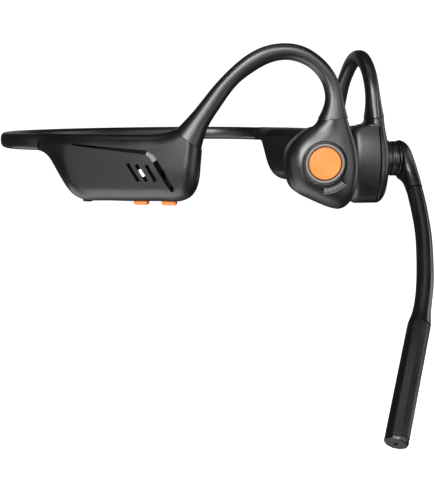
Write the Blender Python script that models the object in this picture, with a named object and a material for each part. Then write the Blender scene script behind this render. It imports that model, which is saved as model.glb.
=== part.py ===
"""Bone conduction headset with a swinging boom microphone, modelled as separate solids.

Two mirrored arms hang on a springy neckband.  Each arm is a housing pod behind the ear, a soft
hook over the ear and a transducer in front of it.  An arm is drawn flat, in millimetres, as
(s along the arm, n outwards, z up), and is then bent round the head on its plan curve.
The frame has +X forwards, +Y to the wearer's left and +Z up, with its origin midway between the
crests of the two ear hooks.
"""

import math

import bmesh
import bpy
from mathutils import Matrix, Vector

MM = 0.001
RIGHT, LEFT = 1, -1
GAP = 0.3                        # clearance between pieces that touch

# Plan curve of the right arm: two arcs, then straight through the transducer
PLAN_START = (-70.3, -60.3)      # where the neckband meets the pod
START_ANGLE = math.radians(15.0)
POD_ANGLE = math.radians(29.0)
HOOK_ANGLE = math.radians(42.0)
POD_ARC = 52.0
HOOK_ARC = 10.0

# Neckband
BAND_DEPTH = 40.0                # from its widest point back to the nape
BAND_HEIGHT = 5.4
BAND_THICKNESS = 4.2
BAND_Z = -28.5
WIRE_N = -0.6
WIRE_R = 0.55
BORE_R = 0.9

# Housing pods
POD_SEAM = 0.19                  # parting line, as a share of the half thickness
POD_WALL = 1.2
POD_CORNER = 4.0

# Transducers
AXIS_S = 93.6                    # button and hub axis
AXIS_Z = -34.4
SHELL_RIM_N = 1.6                # parting line between shell and drum
SHELL_DOME = 0.9
SHELL_EDGE = 3.2
DRUM_FACE_N = -8.0
DRUM_EDGE = 3.4
WALL = 1.2
PAD_THICKNESS = 0.7
PAD_CENTRE = (94.2, -36.0)
PAD_SIZE = (6.9, 7.4)
PAD_CROWN = 0.1

# Parts inside a transducer as profiles of (radius, n)
YOKE = [(8.0, 1.6), (8.0, -4.4), (7.0, -4.4), (7.0, 0.4)]
MAGNET = [(5.3, 0.1), (5.3, -3.6)]
COIL = [(6.6, -1.2), (6.6, -4.9), (5.7, -4.9), (5.7, -1.2)]
SPRING_PLATE = [(8.6, -5.3), (8.6, -5.6)]

# Buttons
BUTTON_R = 5.05
RING_R = 6.2
MOAT_R = 7.3
MOAT_N = 4.6
RING = [(RING_R, 3.9), (RING_R, 5.9), (RING_R - 0.3, 6.2), (BUTTON_R + 0.5, 6.2),
        (BUTTON_R + 0.3, 6.0), (BUTTON_R + 0.3, 3.9)]
BUTTON = [(BUTTON_R - 0.6, 3.9), (BUTTON_R, 4.2), (BUTTON_R, 5.9), (BUTTON_R - 0.4, 6.25), (2.4, 6.5)]
BUTTON_SWITCH = ((93.6, 2.5, -34.4), (3.4, 1.0, 3.4))
GRILLE_R = 8.6
GRILLE_HALF_WIDTH = 0.75
GRILLE_LOW = 4.3
GRILLE_TOP = 5.45
GRILLE_START = math.radians(-91.0)
GRILLE_SWEEP = math.radians(52.0)
VOLUME_PLACES = {"volume_down": 35.8, "volume_up": 45.1}
VOLUME_LENGTH = 4.6
VOLUME_WIDTH = 3.0
VOLUME_LOW = -48.0
VOLUME_TOP = -45.3
VOLUME_SWITCH = (3.4, 2.4, 1.2)
VOLUME_SWITCH_Z = -43.7

# Blocks inside the pods as (centre, size), in the flat arm's s, n and z
MAIN_BOARD = ((31.0, -0.9, -36.0), (36.0, 1.0, 12.0))
SHIELD_CAN = ((24.0, 0.7, -36.0), (9.0, 1.5, 9.0))
SOCKET = ((19.2, WIRE_N, -43.9), (4.4, 2.8, 1.8))
PORT_PLACE = (17.05, WIRE_N, -46.6)
PORT_COVER = (2.9, 2.6, 1.9)
MEMBRANE = ((37.8, 3.3, -37.4), (12.0, 0.5, 8.0))
BATTERY = ((31.0, -0.8, -36.4), (28.0, 4.4, 13.0))
BATTERY_BOARD = ((48.8, -1.0, -36.2), (3.0, 1.0, 9.0))

# Boom microphone on the left transducer
HUB_R = 5.9
BOOM_REST_ANGLE = math.radians(41.0)   # forwards of hanging straight down
PIN_R = 1.5
PIN_BORE_R = 1.9                 # hole round the pin
BARREL_R = 3.5
BARREL_START = 63.5
BARREL_END = 100.0
BARREL_SLOPE = -0.4165           # change of n for each millimetre of reach
BARREL_N = 4.06                  # n of the barrel's axis at its start
COLLAR = [(5.6, 3.6), (5.6, 4.9), (6.6, 4.9), (6.9, 5.2), (6.9, 7.6), (HUB_R, 8.3),
          (HUB_R, 9.5), (HUB_R - 0.3, 9.75), (PIN_BORE_R, 9.75), (PIN_BORE_R, 3.6)]
DISC = [(HUB_R, 10.05), (HUB_R, 10.75), (PIN_BORE_R, 10.75), (PIN_BORE_R, 10.05)]
PIN = [(PIN_R, 2.1), (PIN_R, 13.2)]
CLIP = [(2.9, 2.4), (2.9, 3.2), (1.85, 3.2), (1.85, 2.4)]
SOCKET_BORE = [(PIN_BORE_R, 10.0), (PIN_BORE_R, 13.6)]
CABLE_BORE_R = 1.1
CABLE_R = 0.6
BARREL_BORE_R = 2.7
CAPSULE_R = 2.2


# ---------------------------------------------------------------- materials

def material(name, colour, roughness, metallic=0.0):
    """A Principled material; colour is an sRGB hex value."""
    made = bpy.data.materials.new(name)
    made.use_nodes = True
    shader = made.node_tree.nodes["Principled BSDF"]
    channels = [int(colour[i:i + 2], 16) / 255 for i in (1, 3, 5)]
    linear = [c / 12.92 if c <= 0.04045 else ((c + 0.055) / 1.055) ** 2.4 for c in channels]
    shader.inputs["Base Color"].default_value = (*linear, 1.0)
    shader.inputs["Roughness"].default_value = roughness
    shader.inputs["Metallic"].default_value = metallic
    made.diffuse_color = (*linear, 1.0)
    return made


# ---------------------------------------------------------------- curves

def spline(points, steps, closed=False):
    """Catmull-Rom curve through points, with steps points for each span."""
    count = len(points)
    spans = count if closed else count - 1
    made = []
    for i in range(spans):
        near = []
        for k in (i - 1, i, i + 1, i + 2):
            near.append(points[k % count] if closed else points[min(max(k, 0), count - 1)])
        for j in range(steps):
            t = j / steps
            weights = (
                -0.5 * t + t * t - 0.5 * t ** 3,
                1 - 2.5 * t * t + 1.5 * t ** 3,
                0.5 * t + 2 * t * t - 1.5 * t ** 3,
                -0.5 * t * t + 0.5 * t ** 3,
            )
            made.append(tuple(sum(w * p[d] for w, p in zip(weights, near))
                              for d in range(len(points[0]))))
    if not closed:
        made.append(tuple(points[-1]))
    return made


def interpolate(table, x):
    """Straight-line value at x of a table of (x, value)."""
    for (x0, y0), (x1, y1) in zip(table, table[1:]):
        if x <= x1:
            return y0 + (y1 - y0) * max(0.0, (x - x0) / (x1 - x0))
    return table[-1][1]


def plan(s):
    """Plan position and heading of the right arm's middle surface at arc length s."""
    x, y = PLAN_START
    heading = START_ANGLE
    for length, end in ((POD_ARC, POD_ANGLE), (HOOK_ARC, HOOK_ANGLE)):
        radius = length / (end - heading)
        run = s if length == POD_ARC else s - POD_ARC
        turned = heading + min(run, length) / radius
        x += radius * (math.sin(turned) - math.sin(heading))
        y += radius * (math.cos(heading) - math.cos(turned))
        heading = turned
        if run <= length:
            return x, y, heading
    rest = s - POD_ARC - HOOK_ARC
    return x + rest * math.cos(heading), y + rest * math.sin(heading), heading


def on_arm(side, s, n, z):
    """World point, in metres, of the flat point (s, n, z) of one arm."""
    x, y, heading = plan(s)
    x += n * math.sin(heading)
    y -= n * math.cos(heading)
    return Vector((x, side * y, z)) * MM


def circle(radius, count=16, turn=0.0):
    """Points (a, b) of a circle."""
    steps = [turn + 2 * math.pi * i / count for i in range(count)]
    return [(radius * math.cos(t), radius * math.sin(t)) for t in steps]


def rounded_box(half_a, half_b, corner, per_corner=4):
    """Points (a, b) of a rectangle with round corners, anticlockwise."""
    corner = min(corner, half_a * 0.96, half_b * 0.96)
    made = []
    for quarter, (sign_a, sign_b) in enumerate(((1, 1), (-1, 1), (-1, -1), (1, -1))):
        for j in range(per_corner):
            t = math.pi / 2 * (quarter + j / (per_corner - 1))
            made.append((sign_a * (half_a - corner) + corner * math.cos(t),
                         sign_b * (half_b - corner) + corner * math.sin(t)))
    return made


def shell_section(low, high, rim, face, corner, dome=0.0, per_corner=4):
    """Points (a, n) of a shell's cross-section: open side at n = rim, round edges at n = face."""
    outward = 1 if face > rim else -1
    corner = min(corner, abs(face - rim) * 0.96, (high - low) * 0.48)
    made = [(low, rim)]
    for step in range(per_corner):
        t = math.pi / 2 * step / (per_corner - 1)
        made.append((low + corner * (1 - math.cos(t)), face - outward * corner * (1 - math.sin(t))))
    made.append(((low + high) / 2, face + outward * dome))
    for step in reversed(range(per_corner)):
        t = math.pi / 2 * step / (per_corner - 1)
        made.append((high - corner * (1 - math.cos(t)), face - outward * corner * (1 - math.sin(t))))
    made.append((high, rim))
    return made


# ---------------------------------------------------------------- solids

def skin(rings, hollow=False):
    """Closed bmesh through rings of points: capped at both ends, or closed on itself."""
    shape = bmesh.new()
    first = [shape.verts.new(p) for p in rings[0]]
    for a, b in zip(first, first[1:] + first[:1]):
        shape.edges.new((a, b))
    front = first
    for ring in rings[1:] + (rings[:1] if hollow else []):
        edges = [shape.edges.get((a, b)) for a, b in zip(front, front[1:] + front[:1])]
        grown = bmesh.ops.extrude_edge_only(shape, edges=edges)["geom"]
        new = {v for v in grown if isinstance(v, bmesh.types.BMVert)}
        front = [next(e.other_vert(v) for e in v.link_edges if e.other_vert(v) in new)
                 for v in front]
        for vert, point in zip(front, ring):
            vert.co = point
    if hollow:
        bmesh.ops.remove_doubles(shape, verts=shape.verts, dist=0.0001)
    else:
        shape.faces.new(first)
        shape.faces.new(front)
    return shape


def build(name, shape, finish, place=None, parent=None):
    """Object from a bmesh in millimetres; place maps its points to world metres."""
    for vert in shape.verts:
        vert.co = place(*vert.co) if place else vert.co * MM
    shape.normal_update()
    bmesh.ops.recalc_face_normals(shape, faces=shape.faces)
    mesh = bpy.data.meshes.new(name)
    shape.to_mesh(mesh)
    shape.free()
    mesh.shade_smooth()
    mesh.set_sharp_from_angle(angle=math.radians(32))
    mesh.materials.append(finish)
    made = bpy.data.objects.new(name, mesh)
    bpy.context.scene.collection.objects.link(made)
    made.parent = parent
    return made


def cut(target, cutter):
    """Take cutter out of target with a live Boolean."""
    cutter.hide_render = True
    cutter.display_type = "WIRE"
    made = target.modifiers.new("cut", "BOOLEAN")
    made.operation = "DIFFERENCE"
    made.solver = "EXACT"
    made.object = cutter


def block(centre, size, corner=0.0):
    """Box, in millimetres, with its upright edges rounded."""
    shape = bmesh.new()
    bmesh.ops.create_cube(shape, size=1.0)
    bmesh.ops.scale(shape, vec=size, verts=shape.verts)
    bmesh.ops.translate(shape, vec=centre, verts=shape.verts)
    if corner:
        bmesh.ops.bevel(shape, geom=shape.edges[:], offset=corner, segments=2, profile=0.5,
                        affect="EDGES", material=-1)
    return shape


def turned(profile, count=24, hollow=False):
    """Solid turned about the local z axis from a profile of (radius, z)."""
    return skin([[(a, b, z) for a, b in circle(r, count)] for r, z in profile], hollow)


def ribbon(pairs, widths, centres, corner, bore=0.0, per_corner=2):
    """Bar between pairs of edge points (outer, inner) in the (a, c) plane, as wide as widths in b."""
    outer_rings, bore_rings = [], []
    for ((oa, oc), (ia, ic)), width, centre in zip(pairs, widths, centres):
        ma, mc = (oa + ia) / 2, (oc + ic) / 2
        half = math.hypot(oa - ia, oc - ic) / 2
        ua, uc = (oa - ma) / half, (oc - mc) / half
        section = rounded_box(half, width, corner, per_corner)
        outer_rings.append([(ma + p * ua, centre + q, mc + p * uc) for p, q in section])
        if bore:
            hole = circle(bore, 4 * per_corner, math.pi / (4 * per_corner))
            bore_rings.append([(ma + p * ua, centre + q, mc + p * uc) for p, q in hole])
    return skin(outer_rings + bore_rings[::-1], hollow=bool(bore))


# ---------------------------------------------------------------- neckband

def band_point(turn, offset, z):
    """Point beside the neckband's half ellipse; turn runs from -90 to 90 degrees and beyond."""
    joint_turn = math.atan(-math.tan(START_ANGLE) * BAND_DEPTH / band_half_width())
    centre_x = PLAN_START[0] + BAND_DEPTH * math.sin(joint_turn)
    swing = math.pi / 2 + abs(joint_turn) - GAP / band_half_width()
    u = math.pi / 2 + turn * swing
    x = centre_x - BAND_DEPTH * math.sin(u)
    y = -band_half_width() * math.cos(u)
    nx, ny = -math.sin(u) / BAND_DEPTH, -math.cos(u) / band_half_width()
    size = math.hypot(nx, ny)
    return Vector((x + offset * nx / size, y + offset * ny / size, z)) * MM


def band_half_width():
    """Half the width of the ellipse that leaves the pods in line with them."""
    half = -PLAN_START[1]
    for _ in range(20):
        joint_turn = math.atan(math.tan(START_ANGLE) * BAND_DEPTH / half)
        half = -PLAN_START[1] / math.cos(joint_turn)
    return half


def make_neckband(sleeve_finish, wire_finish):
    stations = [-1 + 2 * i / 36 for i in range(37)]
    section = rounded_box(BAND_THICKNESS / 2, BAND_HEIGHT / 2, 1.5, 2)
    bore = circle(BORE_R, 8, math.pi / 8)
    outer = [[(t, a, BAND_Z + b) for a, b in section] for t in stations]
    inner = [[(t, WIRE_N + a, BAND_Z + b) for a, b in bore] for t in stations]
    build("neckband_sleeve", skin(outer + inner[::-1], hollow=True), sleeve_finish, band_point)

    # The spring wire runs on into both pods
    wire = circle(WIRE_R, 8)
    rings = []
    for s in (5.0, 2.5):
        rings.append([on_arm(RIGHT, s, WIRE_N + a, BAND_Z + b) / MM for a, b in wire])
    for t in stations:
        rings.append([band_point(t, WIRE_N + a, BAND_Z + b) / MM for a, b in wire])
    for s in (2.5, 5.0):
        rings.append([on_arm(LEFT, s, WIRE_N + a, BAND_Z + b) / MM for a, b in wire])
    build("neckband_wire", skin(rings), wire_finish)


# ---------------------------------------------------------------- pods

POD_BOTTOM = [(0, -31.2), (3.5, -33.2), (6.2, -36.6), (8.8, -40.7), (11.2, -43.8), (13.7, -45.8),
              (16.7, -46.9), (20, -47), (50, -47), (52.6, -45.4), (54.4, -42.3), (55.3, -36.5)]
POD_TOP = [(0, -25.6), (38, -25.4), (47, -24.6), (49, -25.0), (55.3, -30.7)]
POD_SHAPE = [(0, 2.3), (6, 3.6), (12, 4.8), (18, 5.2), (50, 5.2), (53, 4.7), (54.4, 4.0),
             (55.3, 2.8)]
POD_STATIONS = [0, 3.5, 6.2, 8.8, 11.2, 13.7, 16.7, 20, 26, 32, 38, 43, 47, 49, 51, 53, 54.4, 55.3]
ROOM_STATIONS = [8.1, 10.0, 12.4, 15.0, 18.3, 23.1, 29.2, 35.3, 40.6, 45.2, 48.1, 50.2, 52.3]


def pod_ring(s, shrink=0.0):
    """Cross-section of a whole pod at s, made smaller all round by shrink."""
    top = interpolate(POD_TOP, s) - shrink
    bottom = interpolate(POD_BOTTOM, s) + shrink
    thick = interpolate(POD_SHAPE, s) - shrink
    section = rounded_box(thick, (top - bottom) / 2, max(POD_CORNER - shrink, 0.8), 3)
    return [(s, a, (top + bottom) / 2 + b) for a, b in section]


def half_pod(outer):
    """Closed half of a pod, on one side of its parting line."""
    rings = []
    for s in POD_STATIONS:
        thick = interpolate(POD_SHAPE, s)
        seam = POD_SEAM * thick
        rim, face = (seam + GAP / 2, thick) if outer else (seam - GAP / 2, -thick)
        section = shell_section(interpolate(POD_BOTTOM, s), interpolate(POD_TOP, s), rim, face,
                                POD_CORNER)
        rings.append([(s, n, z) for z, n in section])
    return skin(rings)


def make_pod(side, name, finish, hidden):
    def bent(s, n, z):
        return on_arm(side, s, n, z)

    outer = build(f"{name}_pod_outer_shell", half_pod(True), finish, bent)
    inner = build(f"{name}_pod_inner_shell", half_pod(False), finish, bent)
    hollow = skin([pod_ring(s, POD_WALL) for s in ROOM_STATIONS])
    room = build(f"{name}_pod_room_cutter", hollow, hidden, bent)
    cut(outer, room)
    cut(inner, room)
    bore = skin([[(s, WIRE_N + a, BAND_Z + b) for a, b in circle(BORE_R, 12)] for s in (-1, 3, 6, 9)])
    cut(inner, build(f"{name}_wire_bore_cutter", bore, hidden, bent))
    return outer, inner


# ---------------------------------------------------------------- ear hooks

# Pairs of edge points (outer, inner) along a hook, then its half widths and their middles in n
HOOK_EDGES = [((47.9, -23.9), (55.5, -30.2)), ((52.3, -19.4), (57.7, -23.4)),
              ((56.2, -14.7), (60.9, -18.2)), ((59.9, -10.2), (64.3, -13.3)),
              ((64.6, -5.4), (68.1, -9.1)), ((69.4, -1.5), (72.0, -6.3)), ((75.0, 1.3), (76.4, -3.9)),
              ((81.2, 2.3), (81.3, -2.8)), ((86.8, 1.5), (85.2, -3.3)), ((92.2, -1.5), (89.2, -5.2)),
              ((96.4, -5.9), (92.3, -8.4)), ((98.9, -11.0), (93.9, -12.2)),
              ((100.2, -16.5), (93.7, -16.7)), ((101.3, -20.8), (91.8, -20.8))]
HOOK_CORNER = 1.9
HOOK_WIDTHS = [4.4, 3.5, 2.8, 2.4, 2.3, 2.3, 2.3, 2.3, 2.3, 2.3, 2.3, 2.3, 2.5, 2.9]
HOOK_CENTRES = [0, 0, 0, 0, 0, 0, 0, 0, 0, 0.1, 0.2, 0.4, 0.7, 1.1]


def make_hook(side, name, finish, wire_finish):
    def bent(s, n, z):
        return on_arm(side, s, n, z)

    rows = [(*outer, *inner, w, c)
            for (outer, inner), w, c in zip(HOOK_EDGES, HOOK_WIDTHS, HOOK_CENTRES)]
    fine = spline(rows, 2)
    pairs = [((r[0], r[1]), (r[2], r[3])) for r in fine]
    widths = [r[4] for r in fine]
    centres = [r[5] for r in fine]
    build(f"{name}_ear_hook", ribbon(pairs, widths, centres, HOOK_CORNER, BORE_R), finish, bent)
    core = []
    for (oa, oc), (ia, ic) in pairs:
        ma, mc = (oa + ia) / 2, (oc + ic) / 2
        half = math.hypot(oa - ia, oc - ic) / 2
        ua, uc = (oa - ma) / half * WIRE_R, (oc - mc) / half * WIRE_R
        core.append(((ma + ua, mc + uc), (ma - ua, mc - uc)))
    wire = ribbon(core[1:-1], [WIRE_R] * (len(core) - 2), centres[1:-1], WIRE_R)
    build(f"{name}_hook_wire", wire, wire_finish, bent)


# ---------------------------------------------------------------- transducers

# Rows of (z, rear edge, front edge, rim n, face n); the neck reaches further in, above the drum
NECK_RIM_N = -1.8
SHELL_ROWS = [(-21.1, 91.8, 101.3, NECK_RIM_N, 4.1), (-22.7, 90.3, 101.8, NECK_RIM_N, 4.4),
              (-22.8, 90.2, 101.8, SHELL_RIM_N, 4.4), (-26.2, 85.8, 103.0, SHELL_RIM_N, 4.9),
              (-29.8, 82.8, 104.1, SHELL_RIM_N, 5.0), (-34.0, 81.9, 104.8, SHELL_RIM_N, 5.0),
              (-38.6, 82.5, 104.8, SHELL_RIM_N, 5.0), (-42.6, 84.3, 104.2, SHELL_RIM_N, 5.0),
              (-45.2, 88.5, 103.3, SHELL_RIM_N, 4.9), (-47.3, 93.2, 101.9, SHELL_RIM_N, 4.4),
              (-48.8, 96.9, 100.4, SHELL_RIM_N, 3.4)]
DRUM_RIM_N = SHELL_RIM_N - GAP
DRUM_ROWS = [(-23.1, 93.0, 98.6, DRUM_RIM_N, -5.6), (-24.2, 89.6, 100.8, DRUM_RIM_N, -7.3),
             (-26.2, 86.0, 102.7, DRUM_RIM_N, -8.0), (-29.8, 83.0, 104.0, DRUM_RIM_N, -8.0),
             (-34.0, 82.0, 104.7, DRUM_RIM_N, -8.0), (-38.6, 82.6, 104.7, DRUM_RIM_N, -8.0),
             (-42.6, 84.5, 104.1, DRUM_RIM_N, -8.0), (-45.2, 88.8, 103.2, DRUM_RIM_N, -8.0),
             (-47.3, 93.6, 101.7, DRUM_RIM_N, -7.2), (-48.6, 97.2, 100.2, DRUM_RIM_N, -5.4)]


def stacked(rows, edge, dome=0.0, shrink=0.0, reach=0.0):
    """Solid through level cross-sections, smaller all round by shrink, its rim moved out by reach."""
    rings = []
    for z, rear, front, rim, face in rows:
        outward = 1 if face > rim else -1
        section = shell_section(rear + shrink, front - shrink, rim - outward * reach,
                                face - outward * shrink, edge, dome, 4)
        rings.append([(s, n, z) for s, n in section])
    return skin(rings)


def make_transducer(side, name, finishes):
    def bent(s, n, z):
        return on_arm(side, s, n, z)

    def axial(profile, count=24, hollow=False):
        return on_axis(turned(profile, count, hollow))

    def on_axis(shape):
        for vert in shape.verts:
            a, b, n = vert.co
            vert.co = (AXIS_S + a, n, AXIS_Z + b)
        return shape

    shell = build(f"{name}_transducer_shell", stacked(SHELL_ROWS, SHELL_EDGE, SHELL_DOME),
                  finishes["housing"], bent)
    room = stacked(SHELL_ROWS[3:-1], SHELL_EDGE, 0.0, WALL, 1.0)
    cut(shell, build(f"{name}_shell_room_cutter", room, finishes["hidden"], bent))
    drum = build(f"{name}_transducer_drum", stacked(DRUM_ROWS, DRUM_EDGE), finishes["inner"], bent)
    room = stacked(DRUM_ROWS[1:-1], DRUM_EDGE, 0.0, WALL, 1.0)
    cut(drum, build(f"{name}_drum_room_cutter", room, finishes["hidden"], bent))

    levels = ((1.0, DRUM_FACE_N - GAP), (1.0, DRUM_FACE_N - PAD_THICKNESS * 0.7),
              (0.94, DRUM_FACE_N - PAD_THICKNESS - PAD_CROWN))
    pad = [[(PAD_CENTRE[0] + a * PAD_SIZE[0], n, PAD_CENTRE[1] + b * PAD_SIZE[1])
            for a, b in circle(scale, 20)] for scale, n in levels]
    build(f"{name}_contact_pad", skin(pad), finishes["pad"], bent)

    build(f"{name}_yoke", axial(YOKE), finishes["steel"], bent)
    build(f"{name}_magnet", axial(MAGNET), finishes["nickel"], bent)
    build(f"{name}_voice_coil", axial(COIL, hollow=True), finishes["copper"], bent)
    build(f"{name}_spring_plate", axial(SPRING_PLATE), finishes["steel"], bent)

    recess = build(f"{name}_recess_cutter", axial([(MOAT_R, MOAT_N), (MOAT_R, 12.0)], 32),
                   finishes["hidden"], bent)
    cut(shell, recess)
    opening = build(f"{name}_opening_cutter", axial([(RING_R + GAP, -1.0), (RING_R + GAP, 9.0)], 32),
                    finishes["hidden"], bent)
    cut(shell, opening)
    return axial, bent


# ---------------------------------------------------------------- controls on the right side

def axis_empty(name, side):
    """Empty on a transducer's axis, with its local z pointing outwards."""
    outwards = (on_arm(side, AXIS_S, 1, 0) - on_arm(side, AXIS_S, 0, 0)) / MM
    up = Vector((0, 0, 1))
    frame = Matrix((up, outwards.cross(up), outwards)).transposed().to_4x4()
    empty = bpy.data.objects.new(name, None)
    empty.matrix_world = Matrix.Translation(on_arm(side, AXIS_S, 0, AXIS_Z)) @ frame
    bpy.context.scene.collection.objects.link(empty)
    return empty


def make_main_button(axial, bent, finishes):
    build("button_ring", axial(RING, 24, hollow=True), finishes["ring"], bent)
    pivot = axis_empty("button_axis", RIGHT)
    build("multifunction_button", turned(BUTTON, 24), finishes["orange"], parent=pivot)
    build("multifunction_switch", block(*BUTTON_SWITCH), finishes["steel"], bent)


def make_vent_grille(bent, shell, finishes):
    """Curved strip of ribs on the lower front of the right transducer."""
    inner, outer = GRILLE_R - GRILLE_HALF_WIDTH, GRILLE_R + GRILLE_HALF_WIDTH
    angles = [GRILLE_START + GRILLE_SWEEP * i / 10 for i in range(11)]

    def arc(extra, bottom, top, ends):
        rings = []
        for i, angle in enumerate(angles):
            turn = angle + (ends if i == 10 else -ends if i == 0 else 0)
            corners = ((inner - extra, bottom), (outer + extra, bottom), (outer + extra, top),
                       (inner - extra, top))
            rings.append([(AXIS_S + r * math.cos(turn), n, AXIS_Z + r * math.sin(turn))
                          for r, n in corners])
        return skin(rings)

    build("vent_grille", arc(0.0, GRILLE_LOW, GRILLE_TOP, 0.0), finishes["grille"], bent)
    slot = arc(GAP, GRILLE_LOW - GAP, GRILLE_TOP + 3.0, GAP / GRILLE_R)
    cut(shell, build("grille_slot_cutter", slot, finishes["hidden"], bent))


def make_volume_buttons(bent, inner, finishes):
    middle = (VOLUME_LOW + VOLUME_TOP) / 2
    for name, s in VOLUME_PLACES.items():
        heading = plan(s)[2]
        pivot = bpy.data.objects.new(f"{name}_axis", None)
        pivot.matrix_world = (Matrix.Translation(on_arm(RIGHT, s, WIRE_N, 0))
                              @ Matrix.Rotation(heading, 4, "Z"))
        bpy.context.scene.collection.objects.link(pivot)
        extent = (VOLUME_LENGTH, VOLUME_WIDTH, VOLUME_TOP - VOLUME_LOW)
        shape = block((0, 0, middle), extent, 0.5)
        build(f"{name}_button", shape, finishes["orange"], parent=pivot)
        hole = block((s, WIRE_N, -47.0),
                     (VOLUME_LENGTH + 2 * GAP, VOLUME_WIDTH + 2 * GAP, 6.0))
        cut(inner, build(f"{name}_hole_cutter", hole, finishes["hidden"], bent))
        switch = block((s, WIRE_N, VOLUME_SWITCH_Z), VOLUME_SWITCH)
        build(f"{name}_switch", switch, finishes["steel"], bent)


VENT_SLOTS = [((33.3, -34.6), (36.8, -40.2)), ((36.1, -34.9), (39.4, -40.1)),
              ((39.3, -35.0), (42.2, -40.1))]
SLOT_HALF_WIDTH = 0.5
LIGHT_HALF_WIDTH = 0.2


def slanted_bar(ends, half_width, low, high):
    """Bar along a slanted line on the pod's face."""
    (s0, z0), (s1, z1) = ends
    size = math.hypot(s1 - s0, z1 - z0)
    us, uz = (s1 - s0) / size * half_width, (z1 - z0) / size * half_width
    corners = [(s0 - uz, z0 + us), (s0 + uz, z0 - us), (s1 + uz, z1 - us), (s1 - uz, z1 + us)]
    return skin([[(s, n, z) for s, z in corners] for n in (low, high)])


def make_vents(bent, outer, finishes):
    for number, ends in enumerate(VENT_SLOTS):
        slot = build(f"vent_slot_cutter_{number}", slanted_bar(ends, SLOT_HALF_WIDTH, 2.0, 8.0),
                     finishes["hidden"], bent)
        cut(outer, slot)
    (s0, z0), (s1, z1) = VENT_SLOTS[1]
    ds, dz = (s1 - s0) * 0.1, (z1 - z0) * 0.1
    pipe = slanted_bar(((s0 + ds, z0 + dz), (s1 - ds, z1 - dz)), LIGHT_HALF_WIDTH, 3.9, 4.9)
    build("status_light_pipe", pipe, finishes["clear"], bent)
    build("vent_membrane", block(*MEMBRANE), finishes["mesh"], bent)


def make_right_electronics(bent, inner, finishes):
    build("main_circuit_board", block(*MAIN_BOARD), finishes["board"], bent)
    build("radio_shield_can", block(*SHIELD_CAN), finishes["steel"], bent)
    build("charging_socket", block(*SOCKET), finishes["steel"], bent)
    build("charging_port_cover", block(PORT_PLACE, PORT_COVER, 0.5), finishes["rubber"], bent)
    hole = block(PORT_PLACE, (PORT_COVER[0] + 2 * GAP, PORT_COVER[1] + 2 * GAP, 3.0))
    cut(inner, build("charging_hole_cutter", hole, finishes["hidden"], bent))


# ---------------------------------------------------------------- boom on the left side

# Elbow profile as pairs (far edge, near edge) of (reach from the axis, n), and its half widths
ELBOW_EDGES = [((-5.9, 11.05), (5.9, 11.05)), ((-5.8, 12.0), (6.8, 11.1)),
               ((-4.6, 13.9), (7.4, 11.15)), ((-1.6, 15.3), (8.1, 11.2)), ((2.2, 16.0), (9.0, 11.3)),
               ((6.6, 16.4), (10.6, 11.4)), ((10.2, 16.55), (11.9, 11.4)), ((13.0, 16.6), (13.2, 11.4))]
ELBOW_WIDTHS = [5.9, 5.9, 5.5, 4.8, 4.0, 3.3, 2.9, 2.65]
ARM_PATH = [(13.5, 14.0), (18.0, 13.95), (24.6, 13.6), (31.6, 12.9), (38.4, 11.7), (45.0, 10.3),
            (51.4, 8.6), (57.5, 6.5), (60.3, 5.4), (63.2, 4.18)]
ARM_RADII = [2.65, 2.65, 2.6, 2.62, 2.65, 2.7, 2.7, 2.75, 3.0, 3.5]


def boom_tube(path, radii, corner, bore=0.0, per_corner=2):
    """Tube along a path of (reach, n) in the boom's plane."""
    pairs = []
    for i, ((a, c), r) in enumerate(zip(path, radii)):
        (a0, c0), (a1, c1) = path[max(i - 1, 0)], path[min(i + 1, len(path) - 1)]
        size = math.hypot(a1 - a0, c1 - c0)
        ua, uc = -(c1 - c0) / size, (a1 - a0) / size
        pairs.append(((a + r * ua, c + r * uc), (a - r * ua, c - r * uc)))
    return ribbon(pairs, radii, [0.0] * len(path), corner, bore, per_corner)


def barrel_point(reach):
    return reach, BARREL_N + (reach - BARREL_START) * BARREL_SLOPE


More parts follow.
